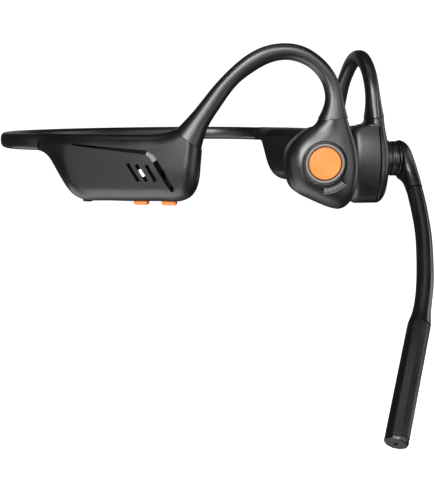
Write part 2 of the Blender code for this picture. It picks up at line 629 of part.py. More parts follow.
def make_boom(axial, bent, finishes):
    build("boom_hub_collar", axial(COLLAR, 24, hollow=True), finishes["housing"], bent)

    # Local x points along the boom's reach and local z outwards along the hub's axis
    origin = on_arm(LEFT, AXIS_S, 0, AXIS_Z)
    outwards = (on_arm(LEFT, AXIS_S, 1, AXIS_Z) - origin) / MM
    forwards = (on_arm(LEFT, AXIS_S + 1, 0, AXIS_Z) - origin) / MM
    reach = Vector((0, 0, -1)) * math.cos(BOOM_REST_ANGLE) + forwards * math.sin(BOOM_REST_ANGLE)
    frame = Matrix((reach, outwards.cross(reach), outwards)).transposed().to_4x4()
    pivot = bpy.data.objects.new("boom_pivot", None)
    pivot.matrix_world = Matrix.Translation(origin) @ frame
    bpy.context.scene.collection.objects.link(pivot)

    build("boom_hub_disc", turned(DISC, 24, hollow=True), finishes["housing"], parent=pivot)
    build("boom_pivot_pin", turned(PIN, 16), finishes["steel"], parent=pivot)
    build("pivot_retaining_ring", turned(CLIP, 16, hollow=True), finishes["steel"], parent=pivot)

    rings = []
    for (outer, inner), width in zip(ELBOW_EDGES, ELBOW_WIDTHS):
        ma, mc = (outer[0] + inner[0]) / 2, (outer[1] + inner[1]) / 2
        ha, hc = outer[0] - ma, outer[1] - mc
        rings.append([(ma + p * ha, q * width, mc + p * hc) for p, q in circle(1.0, 16)])
    elbow = build("boom_elbow", skin(rings), finishes["housing"], parent=pivot)
    socket = build("elbow_socket_cutter", turned(SOCKET_BORE, 16), finishes["hidden"], parent=pivot)
    cut(elbow, socket)

    fine = spline([(*p, r) for p, r in zip(ARM_PATH, ARM_RADII)], 2)
    path = [(p[0], p[1]) for p in fine]
    arm = boom_tube(path, [p[2] for p in fine], 1.7, CABLE_BORE_R)
    build("boom_arm", arm, finishes["housing"], parent=pivot)
    cable = boom_tube(path, [CABLE_R] * len(path), CABLE_R)
    build("boom_cable", cable, finishes["rubber"], parent=pivot)

    stops = [BARREL_START, BARREL_START + 4, BARREL_START + 20, BARREL_END - 1.6]
    walls = boom_tube([barrel_point(g) for g in stops], [BARREL_R - 0.1, BARREL_R, BARREL_R, BARREL_R],
                      1.8, BARREL_BORE_R, 3)
    build("mic_barrel", walls, finishes["housing"], parent=pivot)
    cap = boom_tube([barrel_point(g) for g in (BARREL_END - 1.3, BARREL_END - 0.4, BARREL_END)],
                    [BARREL_R, BARREL_R, BARREL_R - 0.5], 1.8)
    build("mic_end_cap", cap, finishes["housing"], parent=pivot)
    capsule = boom_tube([barrel_point(g) for g in (BARREL_END - 5.0, BARREL_END - 2.2)],
                        [CAPSULE_R, CAPSULE_R], CAPSULE_R - 0.1, per_corner=4)
    build("mic_capsule", capsule, finishes["steel"], parent=pivot)
    chip = boom_tube([barrel_point(g) for g in (BARREL_START + 4, BARREL_END - 6.0)], [0.6, 0.6], 0.1,
                     per_corner=2)
    for vert in chip.verts:
        vert.co.y *= 3.0
    build("mic_circuit_board", chip, finishes["board"], parent=pivot)


# ---------------------------------------------------------------- assembly

def main():
    for old in list(bpy.data.objects):
        bpy.data.objects.remove(old, do_unlink=True)
    finishes = {
        "housing": material("satin_housing", "#2E2E30", 0.42),
        "inner": material("matt_inner_housing", "#1C1C1D", 0.5),
        "silicone": material("soft_silicone", "#2A2A2C", 0.5),
        "pad": material("skin_pad", "#18181A", 0.7),
        "rubber": material("black_rubber", "#141414", 0.7),
        "orange": material("orange_button", "#FA9A48", 0.4),
        "ring": material("grey_ring", "#85807C", 0.35, 0.6),
        "grille": material("grey_grille", "#9A9794", 0.4, 0.3),
        "steel": material("stainless_steel", "#A9A9AB", 0.3, 1.0),
        "nickel": material("nickel_plating", "#B8B4AA", 0.25, 1.0),
        "copper": material("enamelled_copper", "#B46A3C", 0.35, 1.0),
        "wire": material("spring_titanium", "#8C8A86", 0.35, 1.0),
        "board": material("circuit_board", "#1D4A2E", 0.5),
        "cell": material("foil_cell", "#B5B7BA", 0.35, 0.8),
        "mesh": material("vent_mesh", "#1A1A1A", 0.8),
        "clear": material("clear_light_pipe", "#E9E9E6", 0.2),
        "hidden": material("cutter", "#FF00FF", 1.0),
    }
    make_neckband(finishes["silicone"], finishes["wire"])
    for side, name in ((RIGHT, "right"), (LEFT, "left")):
        outer, inner = make_pod(side, name, finishes["housing"], finishes["hidden"])
        make_hook(side, name, finishes["silicone"], finishes["wire"])
        axial, bent = make_transducer(side, name, finishes)
        if side == RIGHT:
            make_main_button(axial, bent, finishes)
            make_vent_grille(bent, bpy.data.objects["right_transducer_shell"], finishes)
            make_volume_buttons(bent, inner, finishes)
            make_vents(bent, outer, finishes)
            make_right_electronics(bent, inner, finishes)
        else:
            build("battery_cell", block(*BATTERY, 0.6), finishes["cell"], bent)
            build("battery_board", block(*BATTERY_BOARD), finishes["board"], bent)
            make_boom(axial, bent, finishes)


main()
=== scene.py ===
"""Looks of a bone conduction headset with a swinging boom microphone.

The arms' pieces are modelled flat, in millimetres, as (s along the arm, n outwards, z up), and are
then bent round the head on the arm's plan curve.  The neckband follows its own half ellipse, and the
boom is modelled in its own plane, as (reach from the hub, across, outwards).  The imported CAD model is
the fixed frame that all of it fits.
"""

import math

import bmesh
import bpy
import numpy as np
from mathutils import Matrix, Vector


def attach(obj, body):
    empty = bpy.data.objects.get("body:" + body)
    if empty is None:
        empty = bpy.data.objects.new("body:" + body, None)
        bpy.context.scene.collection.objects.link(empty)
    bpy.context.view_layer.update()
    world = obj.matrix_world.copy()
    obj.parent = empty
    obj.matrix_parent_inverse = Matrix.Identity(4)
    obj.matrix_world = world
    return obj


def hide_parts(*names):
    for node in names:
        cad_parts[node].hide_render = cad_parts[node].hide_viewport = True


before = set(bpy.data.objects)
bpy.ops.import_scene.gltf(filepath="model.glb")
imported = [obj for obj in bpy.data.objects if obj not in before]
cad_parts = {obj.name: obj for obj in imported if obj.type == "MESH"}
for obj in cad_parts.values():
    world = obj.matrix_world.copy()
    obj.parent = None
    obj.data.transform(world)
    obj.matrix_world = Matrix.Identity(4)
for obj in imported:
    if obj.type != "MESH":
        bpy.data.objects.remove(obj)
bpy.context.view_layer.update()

bl_info = {
    "name": "Bone Conduction Headset",
    "version": (1, 0, 0),
    "blender": (4, 5, 0),
    "location": "View3D > Sidebar > Headset",
    "description": "Builds the visible shells, hooks, buttons and boom of a bone conduction headset",
    "category": "Object",
}

MM = 0.001
RIGHT, LEFT = 1, -1
SIDES = {"right": RIGHT, "left": LEFT}
GAP = 0.3                        # clearance between neighbouring pieces
ROUND_STEPS = 96                 # points round a section or a turned piece
FINE_STEPS = 128                 # the same for the main button, its ring and its seat

# Plan curve of the right arm: two arcs, then straight through the transducer
PLAN_START = (-70.3, -60.3)
START_ANGLE = math.radians(15.0)
POD_ANGLE = math.radians(29.0)
HOOK_ANGLE = math.radians(42.0)
POD_ARC = 52.0
HOOK_ARC = 10.0

# Neckband
BAND_DEPTH = 40.0
BAND_HALF_HEIGHT = 2.7
BAND_HALF_THICKNESS = 2.1
BAND_Z = -28.5
BAND_POWER = 0.8                 # below 1 the section is squarer than an ellipse
BAND_LINE = (0.9, 0.14, 0.1)     # moulding line: offset from the middle, width and depth
SPIGOT = 0.86                    # size of the plug that bridges a joint, as a share of the piece
SPIGOT_REACH = 0.8 * GAP

# Axis of the main button and of the boom's hub
AXIS_S = 93.6
AXIS_Z = -34.4

# Boom
BOOM_REST_ANGLE = math.radians(41.0)
BARREL_START = 63.5
BARREL_END = 100.0
BARREL_SLOPE = -0.4165
BARREL_N = 4.06
BARREL_FACETS = 10


# ---------------------------------------------------------------- colours and settings

def linear(code):
    """Linear colour, with alpha, of an sRGB hex code."""
    channels = [int(code[i:i + 2], 16) / 255 for i in (1, 3, 5)]
    return [c / 12.92 if c <= 0.04045 else ((c + 0.055) / 1.055) ** 2.4 for c in channels] + [1.0]


def colour(name, description, code):
    """Colour property that a user may change, with its default as a hex code."""
    return bpy.props.FloatVectorProperty(name=name, description=description, subtype="COLOR", size=4,
                                         min=0.0, max=1.0, default=linear(code))


def size(name, description, millimetres):
    """Length property in millimetres."""
    return bpy.props.FloatProperty(name=name, description=description, default=millimetres,
                                   min=0.01, max=50.0, subtype="DISTANCE_CAMERA", precision=2)


class HeadsetColours(bpy.types.PropertyGroup):
    """Colours of the headset's finishes."""

    housing: colour("Housing", "Moulded ABS of the pods, transducers and boom", "#0E0E0F")
    silicone: colour("Silicone", "Soft skin of the neckband and ear hooks", "#111112")
    inner: colour("Inner housing", "Shells that face the head", "#0B0B0C")
    orange: colour("Buttons", "Moulded button caps", "#EF8A3E")
    ring: colour("Ring", "Blasted aluminium round the main button", "#8E8883")
    grille: colour("Grille", "Ribbed sound outlet", "#96938F")
    floor: colour("Floor", "Plain pale floor and backdrop", "#FFFFFF")


class HeadsetSizes(bpy.types.PropertyGroup):
    """Sizes of the headset's fine detail, in millimetres."""

    pod_edge: size("Pod edge", "Radius that rounds the pods", 4.2)
    shell_edge: size("Transducer edge", "Radius that rounds the outer transducer shells", 5.2)
    drum_edge: size("Drum edge", "Radius that rounds the transducer drums", 3.0)
    wall: size("Wall", "Thickness of the moulded shells", 1.5)
    lip: size("Parting lip", "Chamfer on both sides of a parting line", 0.22)
    groove_depth: size("Groove depth", "Depth of the shallow turn between the slots on the pods", 0.9)
    button_pitch: size("Button rings", "Spacing of the turned rings on the main button", 0.62)
    ribs: bpy.props.IntProperty(name="Grille ribs", description="Ribs on the sound outlet",
                                default=12, min=3, max=40)


def sizes():
    """The sizes set in the panel, in millimetres."""
    return bpy.context.scene.headset_sizes


def colours():
    """The colours set in the panel."""
    return bpy.context.scene.headset_colours


# ---------------------------------------------------------------- curves and places

def fine(rows, count):
    """A natural cubic spline through rows of numbers, read at evenly spaced places along it."""
    rows = np.array(rows, float)
    steps = np.linalg.norm(np.diff(rows[:, :2], axis=0), axis=1)
    knots = np.concatenate([[0.0], np.cumsum(steps)])
    gaps = np.diff(knots)
    matrix = np.eye(len(knots))
    right = np.zeros_like(rows)
    for i in range(1, len(knots) - 1):
        matrix[i, i - 1:i + 2] = gaps[i - 1], 2 * (gaps[i - 1] + gaps[i]), gaps[i]
        right[i] = 3 * ((rows[i + 1] - rows[i]) / gaps[i] - (rows[i] - rows[i - 1]) / gaps[i - 1])
    bend = np.linalg.solve(matrix, right)
    places = np.linspace(0.0, knots[-1], count)
    cell = np.clip(np.searchsorted(knots, places, side="right") - 1, 0, len(gaps) - 1)
    t = (places - knots[cell])[:, None]
    h = gaps[cell][:, None]
    a, b, p, q = rows[cell], rows[cell + 1], bend[cell], bend[cell + 1]
    return a + t * ((b - a) / h - h * (2 * p + q) / 3) + t * t * p + t ** 3 * (q - p) / (3 * h)


def eased(table, x):
    """Value at x of a table of (x, value), its corners smoothed over about a millimetre."""
    xs, values = zip(*table)
    spread = np.linspace(-2.5, 2.5, 21)
    weights = np.exp(-spread ** 2 / 2)
    around = np.interp(np.asarray(x, float)[..., None] + spread, xs, values)
    return around @ (weights / weights.sum())


def smoothstep(x, low, high):
    """Rises smoothly from 0 at low to 1 at high."""
    t = np.clip((np.asarray(x, float) - low) / (high - low), 0.0, 1.0)
    return t * t * (3 - 2 * t)


def power(value, exponent):
    """Value raised to a power with its sign kept, which squares off or sharpens an ellipse."""
    return math.copysign(abs(value) ** exponent, value)


def far_from(s, z, line):
    """Distance of each point (s, z) to an open line of points."""
    point = np.stack(np.broadcast_arrays(s, z), -1).astype(float)[..., None, :]
    start = np.array(line[:-1], float)
    run = np.array(line[1:], float) - start
    share = ((point - start) * run).sum(-1) / (run ** 2).sum(-1)
    nearest = start + np.clip(share, 0, 1)[..., None] * run
    return np.linalg.norm(point - nearest, axis=-1).min(-1)


def plan(s):
    """Plan position and heading of the right arm's middle surface at arc length s."""
    x, y = PLAN_START
    heading = START_ANGLE
    for length, end in ((POD_ARC, POD_ANGLE), (HOOK_ARC, HOOK_ANGLE)):
        radius = length / (end - heading)
        run = s if length == POD_ARC else s - POD_ARC
        turned = heading + min(run, length) / radius
        x += radius * (math.sin(turned) - math.sin(heading))
        y += radius * (math.cos(heading) - math.cos(turned))
        heading = turned
        if run <= length:
            return x, y, heading
    rest = s - POD_ARC - HOOK_ARC
    return x + rest * math.cos(heading), y + rest * math.sin(heading), heading


def on_arm(side):
    """Function that places a flat point (s, n, z), in millimetres, on one arm, in metres."""
    def place(s, n, z):
        x, y, heading = plan(s)
        return Vector((x + n * math.sin(heading), side * (y - n * math.cos(heading)), z)) * MM
    return place


def on_axis(side):
    """Function that places a point turned about the transducer's axis: (forwards, up, outwards)."""
    place = on_arm(side)
    return lambda a, b, n: place(AXIS_S + a, n, AXIS_Z + b)


def band_half_width():
    """Half the width of the ellipse that leaves the pods in line with them."""
    half = -PLAN_START[1]
    for _ in range(20):
        joint_turn = math.atan(math.tan(START_ANGLE) * BAND_DEPTH / half)
        half = -PLAN_START[1] / math.cos(joint_turn)
    return half


def on_band(turn, offset, z):
    """World point beside the neckband's half ellipse; turn runs from -1 to 1."""
    half_width = band_half_width()
    joint_turn = math.atan(-math.tan(START_ANGLE) * BAND_DEPTH / half_width)
    centre_x = PLAN_START[0] + BAND_DEPTH * math.sin(joint_turn)
    swing = math.pi / 2 + abs(joint_turn) - GAP / half_width
    u = math.pi / 2 + turn * swing
    normal = Vector((-math.sin(u) / BAND_DEPTH, -math.cos(u) / half_width, 0)).normalized()
    middle = Vector((centre_x - BAND_DEPTH * math.sin(u), -half_width * math.cos(u), z))
    return (middle + offset * normal) * MM


def on_boom(reach, across, outwards):
    """World point of a point in the boom's own frame, at rest."""
    place = on_arm(LEFT)
    origin = place(AXIS_S, 0, AXIS_Z)
    out = (place(AXIS_S, 1, AXIS_Z) - origin) / MM
    forwards = (place(AXIS_S + 1, 0, AXIS_Z) - origin) / MM
    along = Vector((0, 0, -1)) * math.cos(BOOM_REST_ANGLE) + forwards * math.sin(BOOM_REST_ANGLE)
    return origin + (along * reach + out.cross(along) * across + out * outwards) * MM


# ---------------------------------------------------------------- mesh tools

def skin(rings):
    """Closed bmesh through rings of points, from a grid wrapped round and filled at both ends."""
    rows, columns = len(rings), len(rings[0])
    shape = bmesh.new()
    bmesh.ops.create_grid(shape, x_segments=columns, y_segments=rows - 1, size=1.0)
    for vert in shape.verts:
        column = round((vert.co.x + 1) / 2 * columns) % columns
        row = round((vert.co.y + 1) / 2 * (rows - 1))
        vert.co = rings[row][column]
    bmesh.ops.remove_doubles(shape, verts=shape.verts, dist=0.0004)
    bmesh.ops.holes_fill(shape, edges=shape.edges)
    return shape


def turned(profile, steps=ROUND_STEPS):
    """Solid spun about the local z axis from a profile of (radius, z)."""
    shape = bmesh.new()
    points = [shape.verts.new((r, 0, z)) for r, z in profile]
    for a, b in zip(points, points[1:]):
        shape.edges.new((a, b))
    bmesh.ops.spin(shape, geom=shape.verts[:] + shape.edges[:], axis=(0, 0, 1), cent=(0, 0, 0),
                   angle=2 * math.pi, steps=steps, use_merge=True)
    bmesh.ops.remove_doubles(shape, verts=shape.verts, dist=0.001)
    bmesh.ops.holes_fill(shape, edges=shape.edges)
    return shape


def plug(radius, low, high, steps=ROUND_STEPS):
    """Round plug on the axis, from n = low to n = high."""
    return turned([(0, low), (radius, low), (radius, high), (0, high)], steps)


def rounded_block(centre, extent, radius, segments=4):
    """Box with every edge rounded."""
    shape = bmesh.new()
    bmesh.ops.create_cube(shape, size=1.0)
    bmesh.ops.scale(shape, vec=extent, verts=shape.verts)
    bmesh.ops.bevel(shape, geom=shape.edges[:], offset=radius, segments=segments, profile=0.5,
                    affect="EDGES", material=-1, clamp_overlap=True)
    bmesh.ops.translate(shape, vec=centre, verts=shape.verts)
    return shape


def rounded(profile, radius, per_corner=4):
    """Profile of (radius, z) with every corner between its two ends rounded."""
    points = [Vector(p) for p in profile]
    made = [tuple(points[0])]
    for before, corner, after in zip(points, points[1:], points[2:]):
        reach = min(radius, (before - corner).length * 0.45, (after - corner).length * 0.45)
        start = corner + (before - corner).normalized() * reach
        end = corner + (after - corner).normalized() * reach
        for i in range(per_corner + 1):
            t = i / per_corner
            made.append(tuple((1 - t) ** 2 * start + 2 * t * (1 - t) * corner + t * t * end))
    made.append(tuple(points[-1]))
    return made


def bar(line, half_width, low, high, slant=(0.0, 0.0)):
    """Bar along a line of points (s, z) of a pod's face, from n = low to n = high.

    half_width holds one value for each point, and slant is how fast the lower side rises with s and z.
    """
    line = [Vector(p) for p in line]
    left, right = [], []
    for i, point in enumerate(line):
        run = (line[min(i + 1, len(line) - 1)] - line[max(i - 1, 0)]).normalized() * half_width[i]
        left.append(point + Vector((-run.y, run.x)))
        right.append(point - Vector((-run.y, run.x)))
    outline = left + right[::-1]
    rise = [slant[0] * (p.x - line[0].x) + slant[1] * (p.y - line[0].y) for p in outline]
    floor = [(p.x, low + up, p.y) for p, up in zip(outline, rise)]
    return skin([floor, [(p.x, high, p.y) for p in outline]])


def solid(name, shape, place):
    """Object from a bmesh, its points placed in the world and its faces turned outwards."""
    for vert in shape.verts:
        vert.co = place(*vert.co)
    shape.normal_update()
    bmesh.ops.recalc_face_normals(shape, faces=shape.faces)
    mesh = bpy.data.meshes.new(name)
    shape.to_mesh(mesh)
    shape.free()
    made = bpy.data.objects.new(name, mesh)
    bpy.context.scene.collection.objects.link(made)
    return made


def carve(target, *cutters):
    """Takes the cutters out of target for good, and removes them."""
    for cutter in cutters:
        made = target.modifiers.new("cut", "BOOLEAN")
        made.operation = "DIFFERENCE"
        made.solver = "EXACT"
        made.object = cutter
    evaluated = target.evaluated_get(bpy.context.evaluated_depsgraph_get())
    mesh = bpy.data.meshes.new_from_object(evaluated)
    target.modifiers.clear()
    target.data = mesh
    for cutter in cutters:
        bpy.data.objects.remove(cutter)


def piece(made, finish, body, slot, *nodes, sharp=32.0):
    """Finishes a visible piece: smooth shading, material, body and the CAD nodes it stands for.  Its slot
    argument is not used.
    """
    if not len(made.data.polygons):
        raise RuntimeError(f"{made.name} has no faces")
    made.data.shade_smooth()
    made.data.set_sharp_from_angle(angle=math.radians(sharp))
    made.data.materials.clear()
    made.data.materials.append(finish)
    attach(made, body)
    if nodes:
        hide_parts(*nodes)
    return made


# ---------------------------------------------------------------- materials

def add(tree, kind, settings=None, links=None):
    """Adds one node, sets its properties and sockets, and joins the outputs that feed it."""
    made = tree.nodes.new(kind)
    for key, value in (settings or {}).items():
        if hasattr(made, str(key)):
            setattr(made, key, value)
        else:
            made.inputs[key].default_value = value
    for key, output in (links or {}).items():
        tree.links.new(output, made.inputs[key])
    return made


CLOUD_MM = 9                     # size of the slow changes of gloss, such as handling leaves
LACQUER = 0.8                    # specular level of a satin lacquer over black plastic


def finish(name, base, roughness, grain_mm, bump_mm, spread=0.06, mottle=0.12, **fixed):
    """Principled material with a fine grain in its bump and colour, and slow changes of gloss.

    grain_mm is the size of the grain, bump_mm its height, spread the change in roughness and mottle
    the change in colour.  Other sockets are constants, set on the shader itself.  Most real grain here
    is finer than a tenth of a millimetre, so it is drawn coarser than it is, as it would not show.
    """
    found = bpy.data.materials.get(name)
    if found:
        return found
    made = bpy.data.materials.new(name)
    made.use_nodes = True
    tree = made.node_tree
    tree.nodes.clear()
    shader = add(tree, "ShaderNodeBsdfPrincipled", fixed)
    add(tree, "ShaderNodeOutputMaterial", None, {"Surface": shader.outputs[0]})
    coords = add(tree, "ShaderNodeTexCoord").outputs["Object"]
    grain = add(tree, "ShaderNodeTexNoise", {"Scale": 1 / (grain_mm * MM), "Detail": 2.0},
                {"Vector": coords})
    cloud = add(tree, "ShaderNodeTexNoise", {"Scale": 1 / (CLOUD_MM * MM), "Detail": 3.0},
                {"Vector": coords})
    rough = add(tree, "ShaderNodeMapRange",
                {"From Min": 0.3, "From Max": 0.7,
                 "To Min": roughness - spread, "To Max": roughness + spread},
                {"Value": cloud.outputs["Fac"]})
    dark = [c * (1 - mottle) for c in base[:3]] + [1.0]
    light = [min(1.0, c * (1 + mottle)) for c in base[:3]] + [1.0]
    tone = add(tree, "ShaderNodeMix", {"data_type": "RGBA"}, {"Factor": grain.outputs["Fac"]})
    tone.inputs[6].default_value = dark
    tone.inputs[7].default_value = light
    bump = add(tree, "ShaderNodeBump", {"Strength": 0.6, "Distance": bump_mm * MM},
               {"Height": grain.outputs["Fac"]})
    tree.links.new(tone.outputs[2], shader.inputs["Base Color"])
    tree.links.new(rough.outputs[0], shader.inputs["Roughness"])
    tree.links.new(bump.outputs[0], shader.inputs["Normal"])
    return made


def moulded_abs():
    """ABS moulded in a spark-eroded tool: a faint even grain that softens a broad, satin highlight."""
    return finish("satin_moulded_abs", colours().housing, 0.31, 0.22, 0.006,
                  **{"Specular IOR Level": LACQUER})


def inner_abs():
    """The same ABS with a coarser texture on the side that faces the head, so it looks duller."""
    return finish("matt_moulded_abs", colours().inner, 0.38, 0.26, 0.01,
                  **{"Specular IOR Level": LACQUER})


def soft_silicone():
    """Liquid silicone over-moulded on spring wire: a powdery skin whose highlight is wide and soft."""
    return finish("soft_touch_silicone", colours().silicone, 0.33, 0.3, 0.006, 0.03, 0.1,
                  **{"Specular IOR Level": LACQUER})


def orange_abs():
    """Through-coloured orange ABS with a fine matt texture."""
    return finish("orange_moulded_abs", colours().orange, 0.42, 0.2, 0.008, 0.05, 0.03)


def blasted_aluminium():
    """Glass-bead blasted and clear anodised aluminium: a dull grey metal without a clear glint."""
    return finish("blasted_aluminium", colours().ring, 0.48, 0.15, 0.003, 0.04, 0.05, Metallic=1.0)


def painted_zinc():
    """Die-cast zinc under silver-grey paint: bright ribs with a satin coat."""
    return finish("silver_painted_zinc", colours().grille, 0.38, 0.15, 0.005, 0.05, 0.06, Metallic=0.6)


def dimpled_silicone():
    """Skin-safe silicone from a dimpled tool: dull, with a sheen too broken up to form a highlight."""
    return finish("dimpled_skin_silicone", linear("#151516"), 0.6, 0.35, 0.03)


def black_rubber():
    """Moulded synthetic rubber: near black and dusty, with hardly a highlight."""
    return finish("black_rubber", linear("#121213"), 0.6, 0.25, 0.01)


def frosted_light_pipe():
    """Frosted acrylic lit from behind by a white diode: an even white glow."""
    return finish("frosted_light_pipe", linear("#F4F4F2"), 0.3, 0.3, 0.002, 0.02, 0.02,
                  **{"Emission Color": linear("#FFFFFF"), "Emission Strength": 0.9})


def stainless_steel():
    """Pressed stainless steel, tumbled to break its edges: a bright grey metal, a little blurred."""
    return finish("tumbled_stainless_steel", linear("#A9A9AB"), 0.3, 0.2, 0.003, 0.06, 0.06,
                  Metallic=1.0)


def nickel_plating():
    """Nickel plated on sintered magnets and on the capsule: yellower and glossier than the steel."""
    return finish("nickel_plating", linear("#B8B4AA"), 0.22, 0.25, 0.002, 0.05, 0.05, Metallic=1.0)


def copper_wire():
    """Enamelled copper wire wound in a coil: a reddish metal, mottled by its turns."""
    return finish("enamelled_copper_wire", linear("#B46A3C"), 0.3, 0.12, 0.01, 0.05, 0.2, Metallic=1.0)


def spring_titanium():
    """Cold-drawn titanium alloy wire: a warm dark grey metal with a soft shine."""
    return finish("drawn_spring_titanium", linear("#8C8A86"), 0.33, 0.15, 0.003, Metallic=1.0)


def epoxy_board():
    """Glass-epoxy laminate under black solder mask: nearly black and evenly dull."""
    return finish("glass_epoxy_board", linear("#07090A"), 0.5, 0.3, 0.01)


def pouch_foil():
    """Aluminium-laminated foil of a pouch cell: silvery, with shallow creases."""
    return finish("aluminium_pouch_foil", linear("#B5B7BA"), 0.3, 0.8, 0.05, Metallic=0.9)


def vent_mesh():
    """Fine woven polyester, coated to repel water: black, with almost no reflection."""
    return finish("woven_vent_mesh", linear("#050505"), 0.8, 0.12, 0.05, 0.06, 0.5,
                  **{"Specular IOR Level": 0.1})


# ---------------------------------------------------------------- pillow shells

OUTLINE_STEPS = 420
CROWD = 5.0                      # length of the last, crowded stretch of a shell
CROWD_STEPS = 26                 # rings in that stretch


class Outline:
    """Closed outline on the flat arm, split into two branches that face each other.

    across is the coordinate that its sections are taken at: 0 for s and 1 for z.
    """

    def __init__(self, points, across):
        self.line = fine(points, OUTLINE_STEPS)
        self.across = across
        turn = int(np.argmax(self.line[:, across] * (1 if across == 0 else -1)))
        self.end = self.line[turn, across]
        self.branches = self.line[:turn + 1], self.line[turn:][::-1]

    def span(self, place):
        """The outline's two edges at one place along it."""
        sign = 1 if self.across == 0 else -1
        edges = [np.interp(place * sign, branch[:, self.across] * sign, branch[:, 1 - self.across])
                 for branch in self.branches]
        return min(edges), max(edges)

    def depth(self, s, z):
        """Distance of points inside the outline to its edge."""
        return far_from(s, z, self.line)


def stations(start, end, step):
    """Places from start to end, closer together over the last stretch."""
    sign = 1 if end > start else -1
    count = max(2, round((abs(end - start) - CROWD) / step))
    even = np.linspace(start, end - sign * CROWD, count, endpoint=False)
    turn = np.linspace(0.0, math.pi / 2, CROWD_STEPS)
    return np.concatenate([even, end - sign * CROWD * np.cos(turn)])


def fallen(depth, edge):
    """Share of a quarter-round edge that is still to climb at a depth inside the outline."""
    return 1 - np.sqrt(np.clip(1 - (1 - np.minimum(depth / edge, 1)) ** 2, 0, 1))


def pillow(outline, places, rim, face, edge, wall, lip, columns=ROUND_STEPS, under=None):
    """Hollow half shell: an outer face that falls away over the radius edge to the outline.

    rim(place) is where its open side lies and face(s, z) how far out it reaches.  Its inner surface
    follows it at the wall's thickness, read at every third point across.  under(place) bulges the
    open side out where a neck is closed.
    """
    sign = 1 if face(0.0, 0.0) > 0 else -1
    turn = np.linspace(0.0, math.pi, columns)
    rings = []
    for place in places:
        low, high = outline.span(place)
        middle, half = (low + high) / 2, max((high - low) / 2, 0.01)
        # The points crowd a little towards both rims, where the face turns most
        across = middle - half * (np.cos(turn) * 0.35 + (1 - 2 * turn / math.pi) * 0.65)
        along = np.full(columns, place)
        s, z = (along, across) if outline.across == 0 else (across, along)
        base = rim(place)
        deep = np.minimum(outline.depth(s, z), half)
        deep[0] = deep[-1] = 0.0
        far = face(s, z)
        fall = np.minimum(edge, np.abs(far - base) * 0.98)
        outer = far - sign * fall * fallen(deep, edge)
        back = slice(None, None, -3)
        if under and under(place) > 0.01:
            x = (across[back] - middle) / half
            inner = base - sign * under(place) * np.sqrt(np.clip(1 - np.abs(x) ** 2.4, 0, 1))
        else:
            shallow = np.clip(deep[back] - wall, 0, None)
            inner = far[back] - sign * (fall[back] * fallen(shallow, edge) + wall)
            inner = np.where(deep[back] > wall, inner, base)
            inner = base + sign * np.clip(sign * (inner - base), 0, None)
        nudge = min(lip, half * 0.4)
        rows = [(across[0] + nudge, base), (across[0], base + sign * lip)]
        rows += list(zip(across, outer))
        rows += [(across[-1], base + sign * lip), (across[-1] - nudge, base)]
        rows += list(zip(across[back][1:-1], inner[1:-1]))
        if outline.across == 0:
            rings.append([(place, n, q) for q, n in rows])
        else:
            rings.append([(q, n, place) for q, n in rows])
    return skin(rings)


# ---------------------------------------------------------------- neckband

class HEADSET_OT_neckband(bpy.types.Operator):
    """Silicone sleeve of the neckband, with its moulding line along the top and bottom"""

    bl_idname = "headset.neckband"
    bl_label = "Neckband"

    def execute(self, context):
        beyond = SPIGOT_REACH / (math.pi / 2 * band_half_width())
        turns = [(-1 - beyond, SPIGOT), (-1, SPIGOT), *((turn, 1.0) for turn in np.linspace(-1, 1, 181)),
                 (1, SPIGOT), (1 + beyond, SPIGOT)]
        offset, width, depth = BAND_LINE
        rings = []
        for turn, share in turns:
            ring = []
            for angle in np.linspace(0, 2 * math.pi, 64, endpoint=False):
                a = power(math.cos(angle), BAND_POWER) * BAND_HALF_THICKNESS
                b = power(math.sin(angle), BAND_POWER) * BAND_HALF_HEIGHT
                dent = depth * math.exp(-((a - offset) / width) ** 2)
                ring.append((turn, a * share, BAND_Z + (b - math.copysign(dent, b)) * share))
            rings.append(ring)
        piece(solid("neckband_skin", skin(rings), on_band), soft_silicone(), "headset", "silicone",
              "neckband_sleeve")
        return {"FINISHED"}


# ---------------------------------------------------------------- pods

# Outline of a pod and the root of its hook as (s, z): forwards along the top, back along the bottom
POD_OUTLINE = [(0, -25.7), (12, -25.6), (24, -25.5), (36, -25.5), (43, -25.2), (47.9, -23.7),
               (52.3, -19.4), (56.2, -14.7), (60.9, -18.2), (57.9, -23.4), (56.0, -29.4), (55.4, -35.5),
               (54.6, -41.3), (52.7, -44.7), (49.4, -46.4), (44, -46.6), (37, -46.7), (30, -46.8),
               (23, -46.9), (17.5, -46.9), (14, -45.9), (11.2, -43.8), (8.8, -40.7), (6.2, -36.6),
               (3.8, -33.2), (1.5, -31.6), (0, -31.2)]
POD_FACE_N = 5.15
POD_HALF_THICKNESS = [(-3, 2.15), (0, 2.2), (6, 3.6), (12, 4.8), (18, POD_FACE_N), (60, POD_FACE_N)]
POD_SEAM_N = 1.0
CAMBER = 1.4                     # how far the face leans in towards the bottom edge
CAMBER_REACH = 11.0              # height above the bottom edge over which it does
POD_END = 55.7
SEAM_LINE = ((47.9, -23.9), (55.5, -30.2))       # joint between a pod and its hook

# Cuts in a pod's face: lines as (s, z), each with the half width at every point
GROOVE = [(14.6, -28.95), (39.2, -31.1)]
GROOVE_WIDTHS = (0.24, 0.66)
GROOVE_TURN = [(39.0, -31.0), (40.9, -32.2), (42.4, -34.4)]
TURN_WIDTHS = (0.66, 0.86, 0.86)
TURN_SLANT = (-0.13, -0.24)      # lean of the turn's floor with s and with z
GROOVE_LEG = [(42.0, -33.7), (46.0, -40.4), (47.6, -43.2)]
LEG_WIDTHS = (0.86, 0.92, 0.6)
VENT_SLOTS = [((33.3, -34.6), (36.8, -40.2)), ((36.1, -34.9), (39.4, -40.1)),
              ((39.3, -35.0), (42.2, -40.1))]
SLOT_WIDTHS = (0.55, 0.55)
CUT_FLOOR = 2.2                  # below the wall, so that a cut goes right through it
CUT_TOP = 7.0


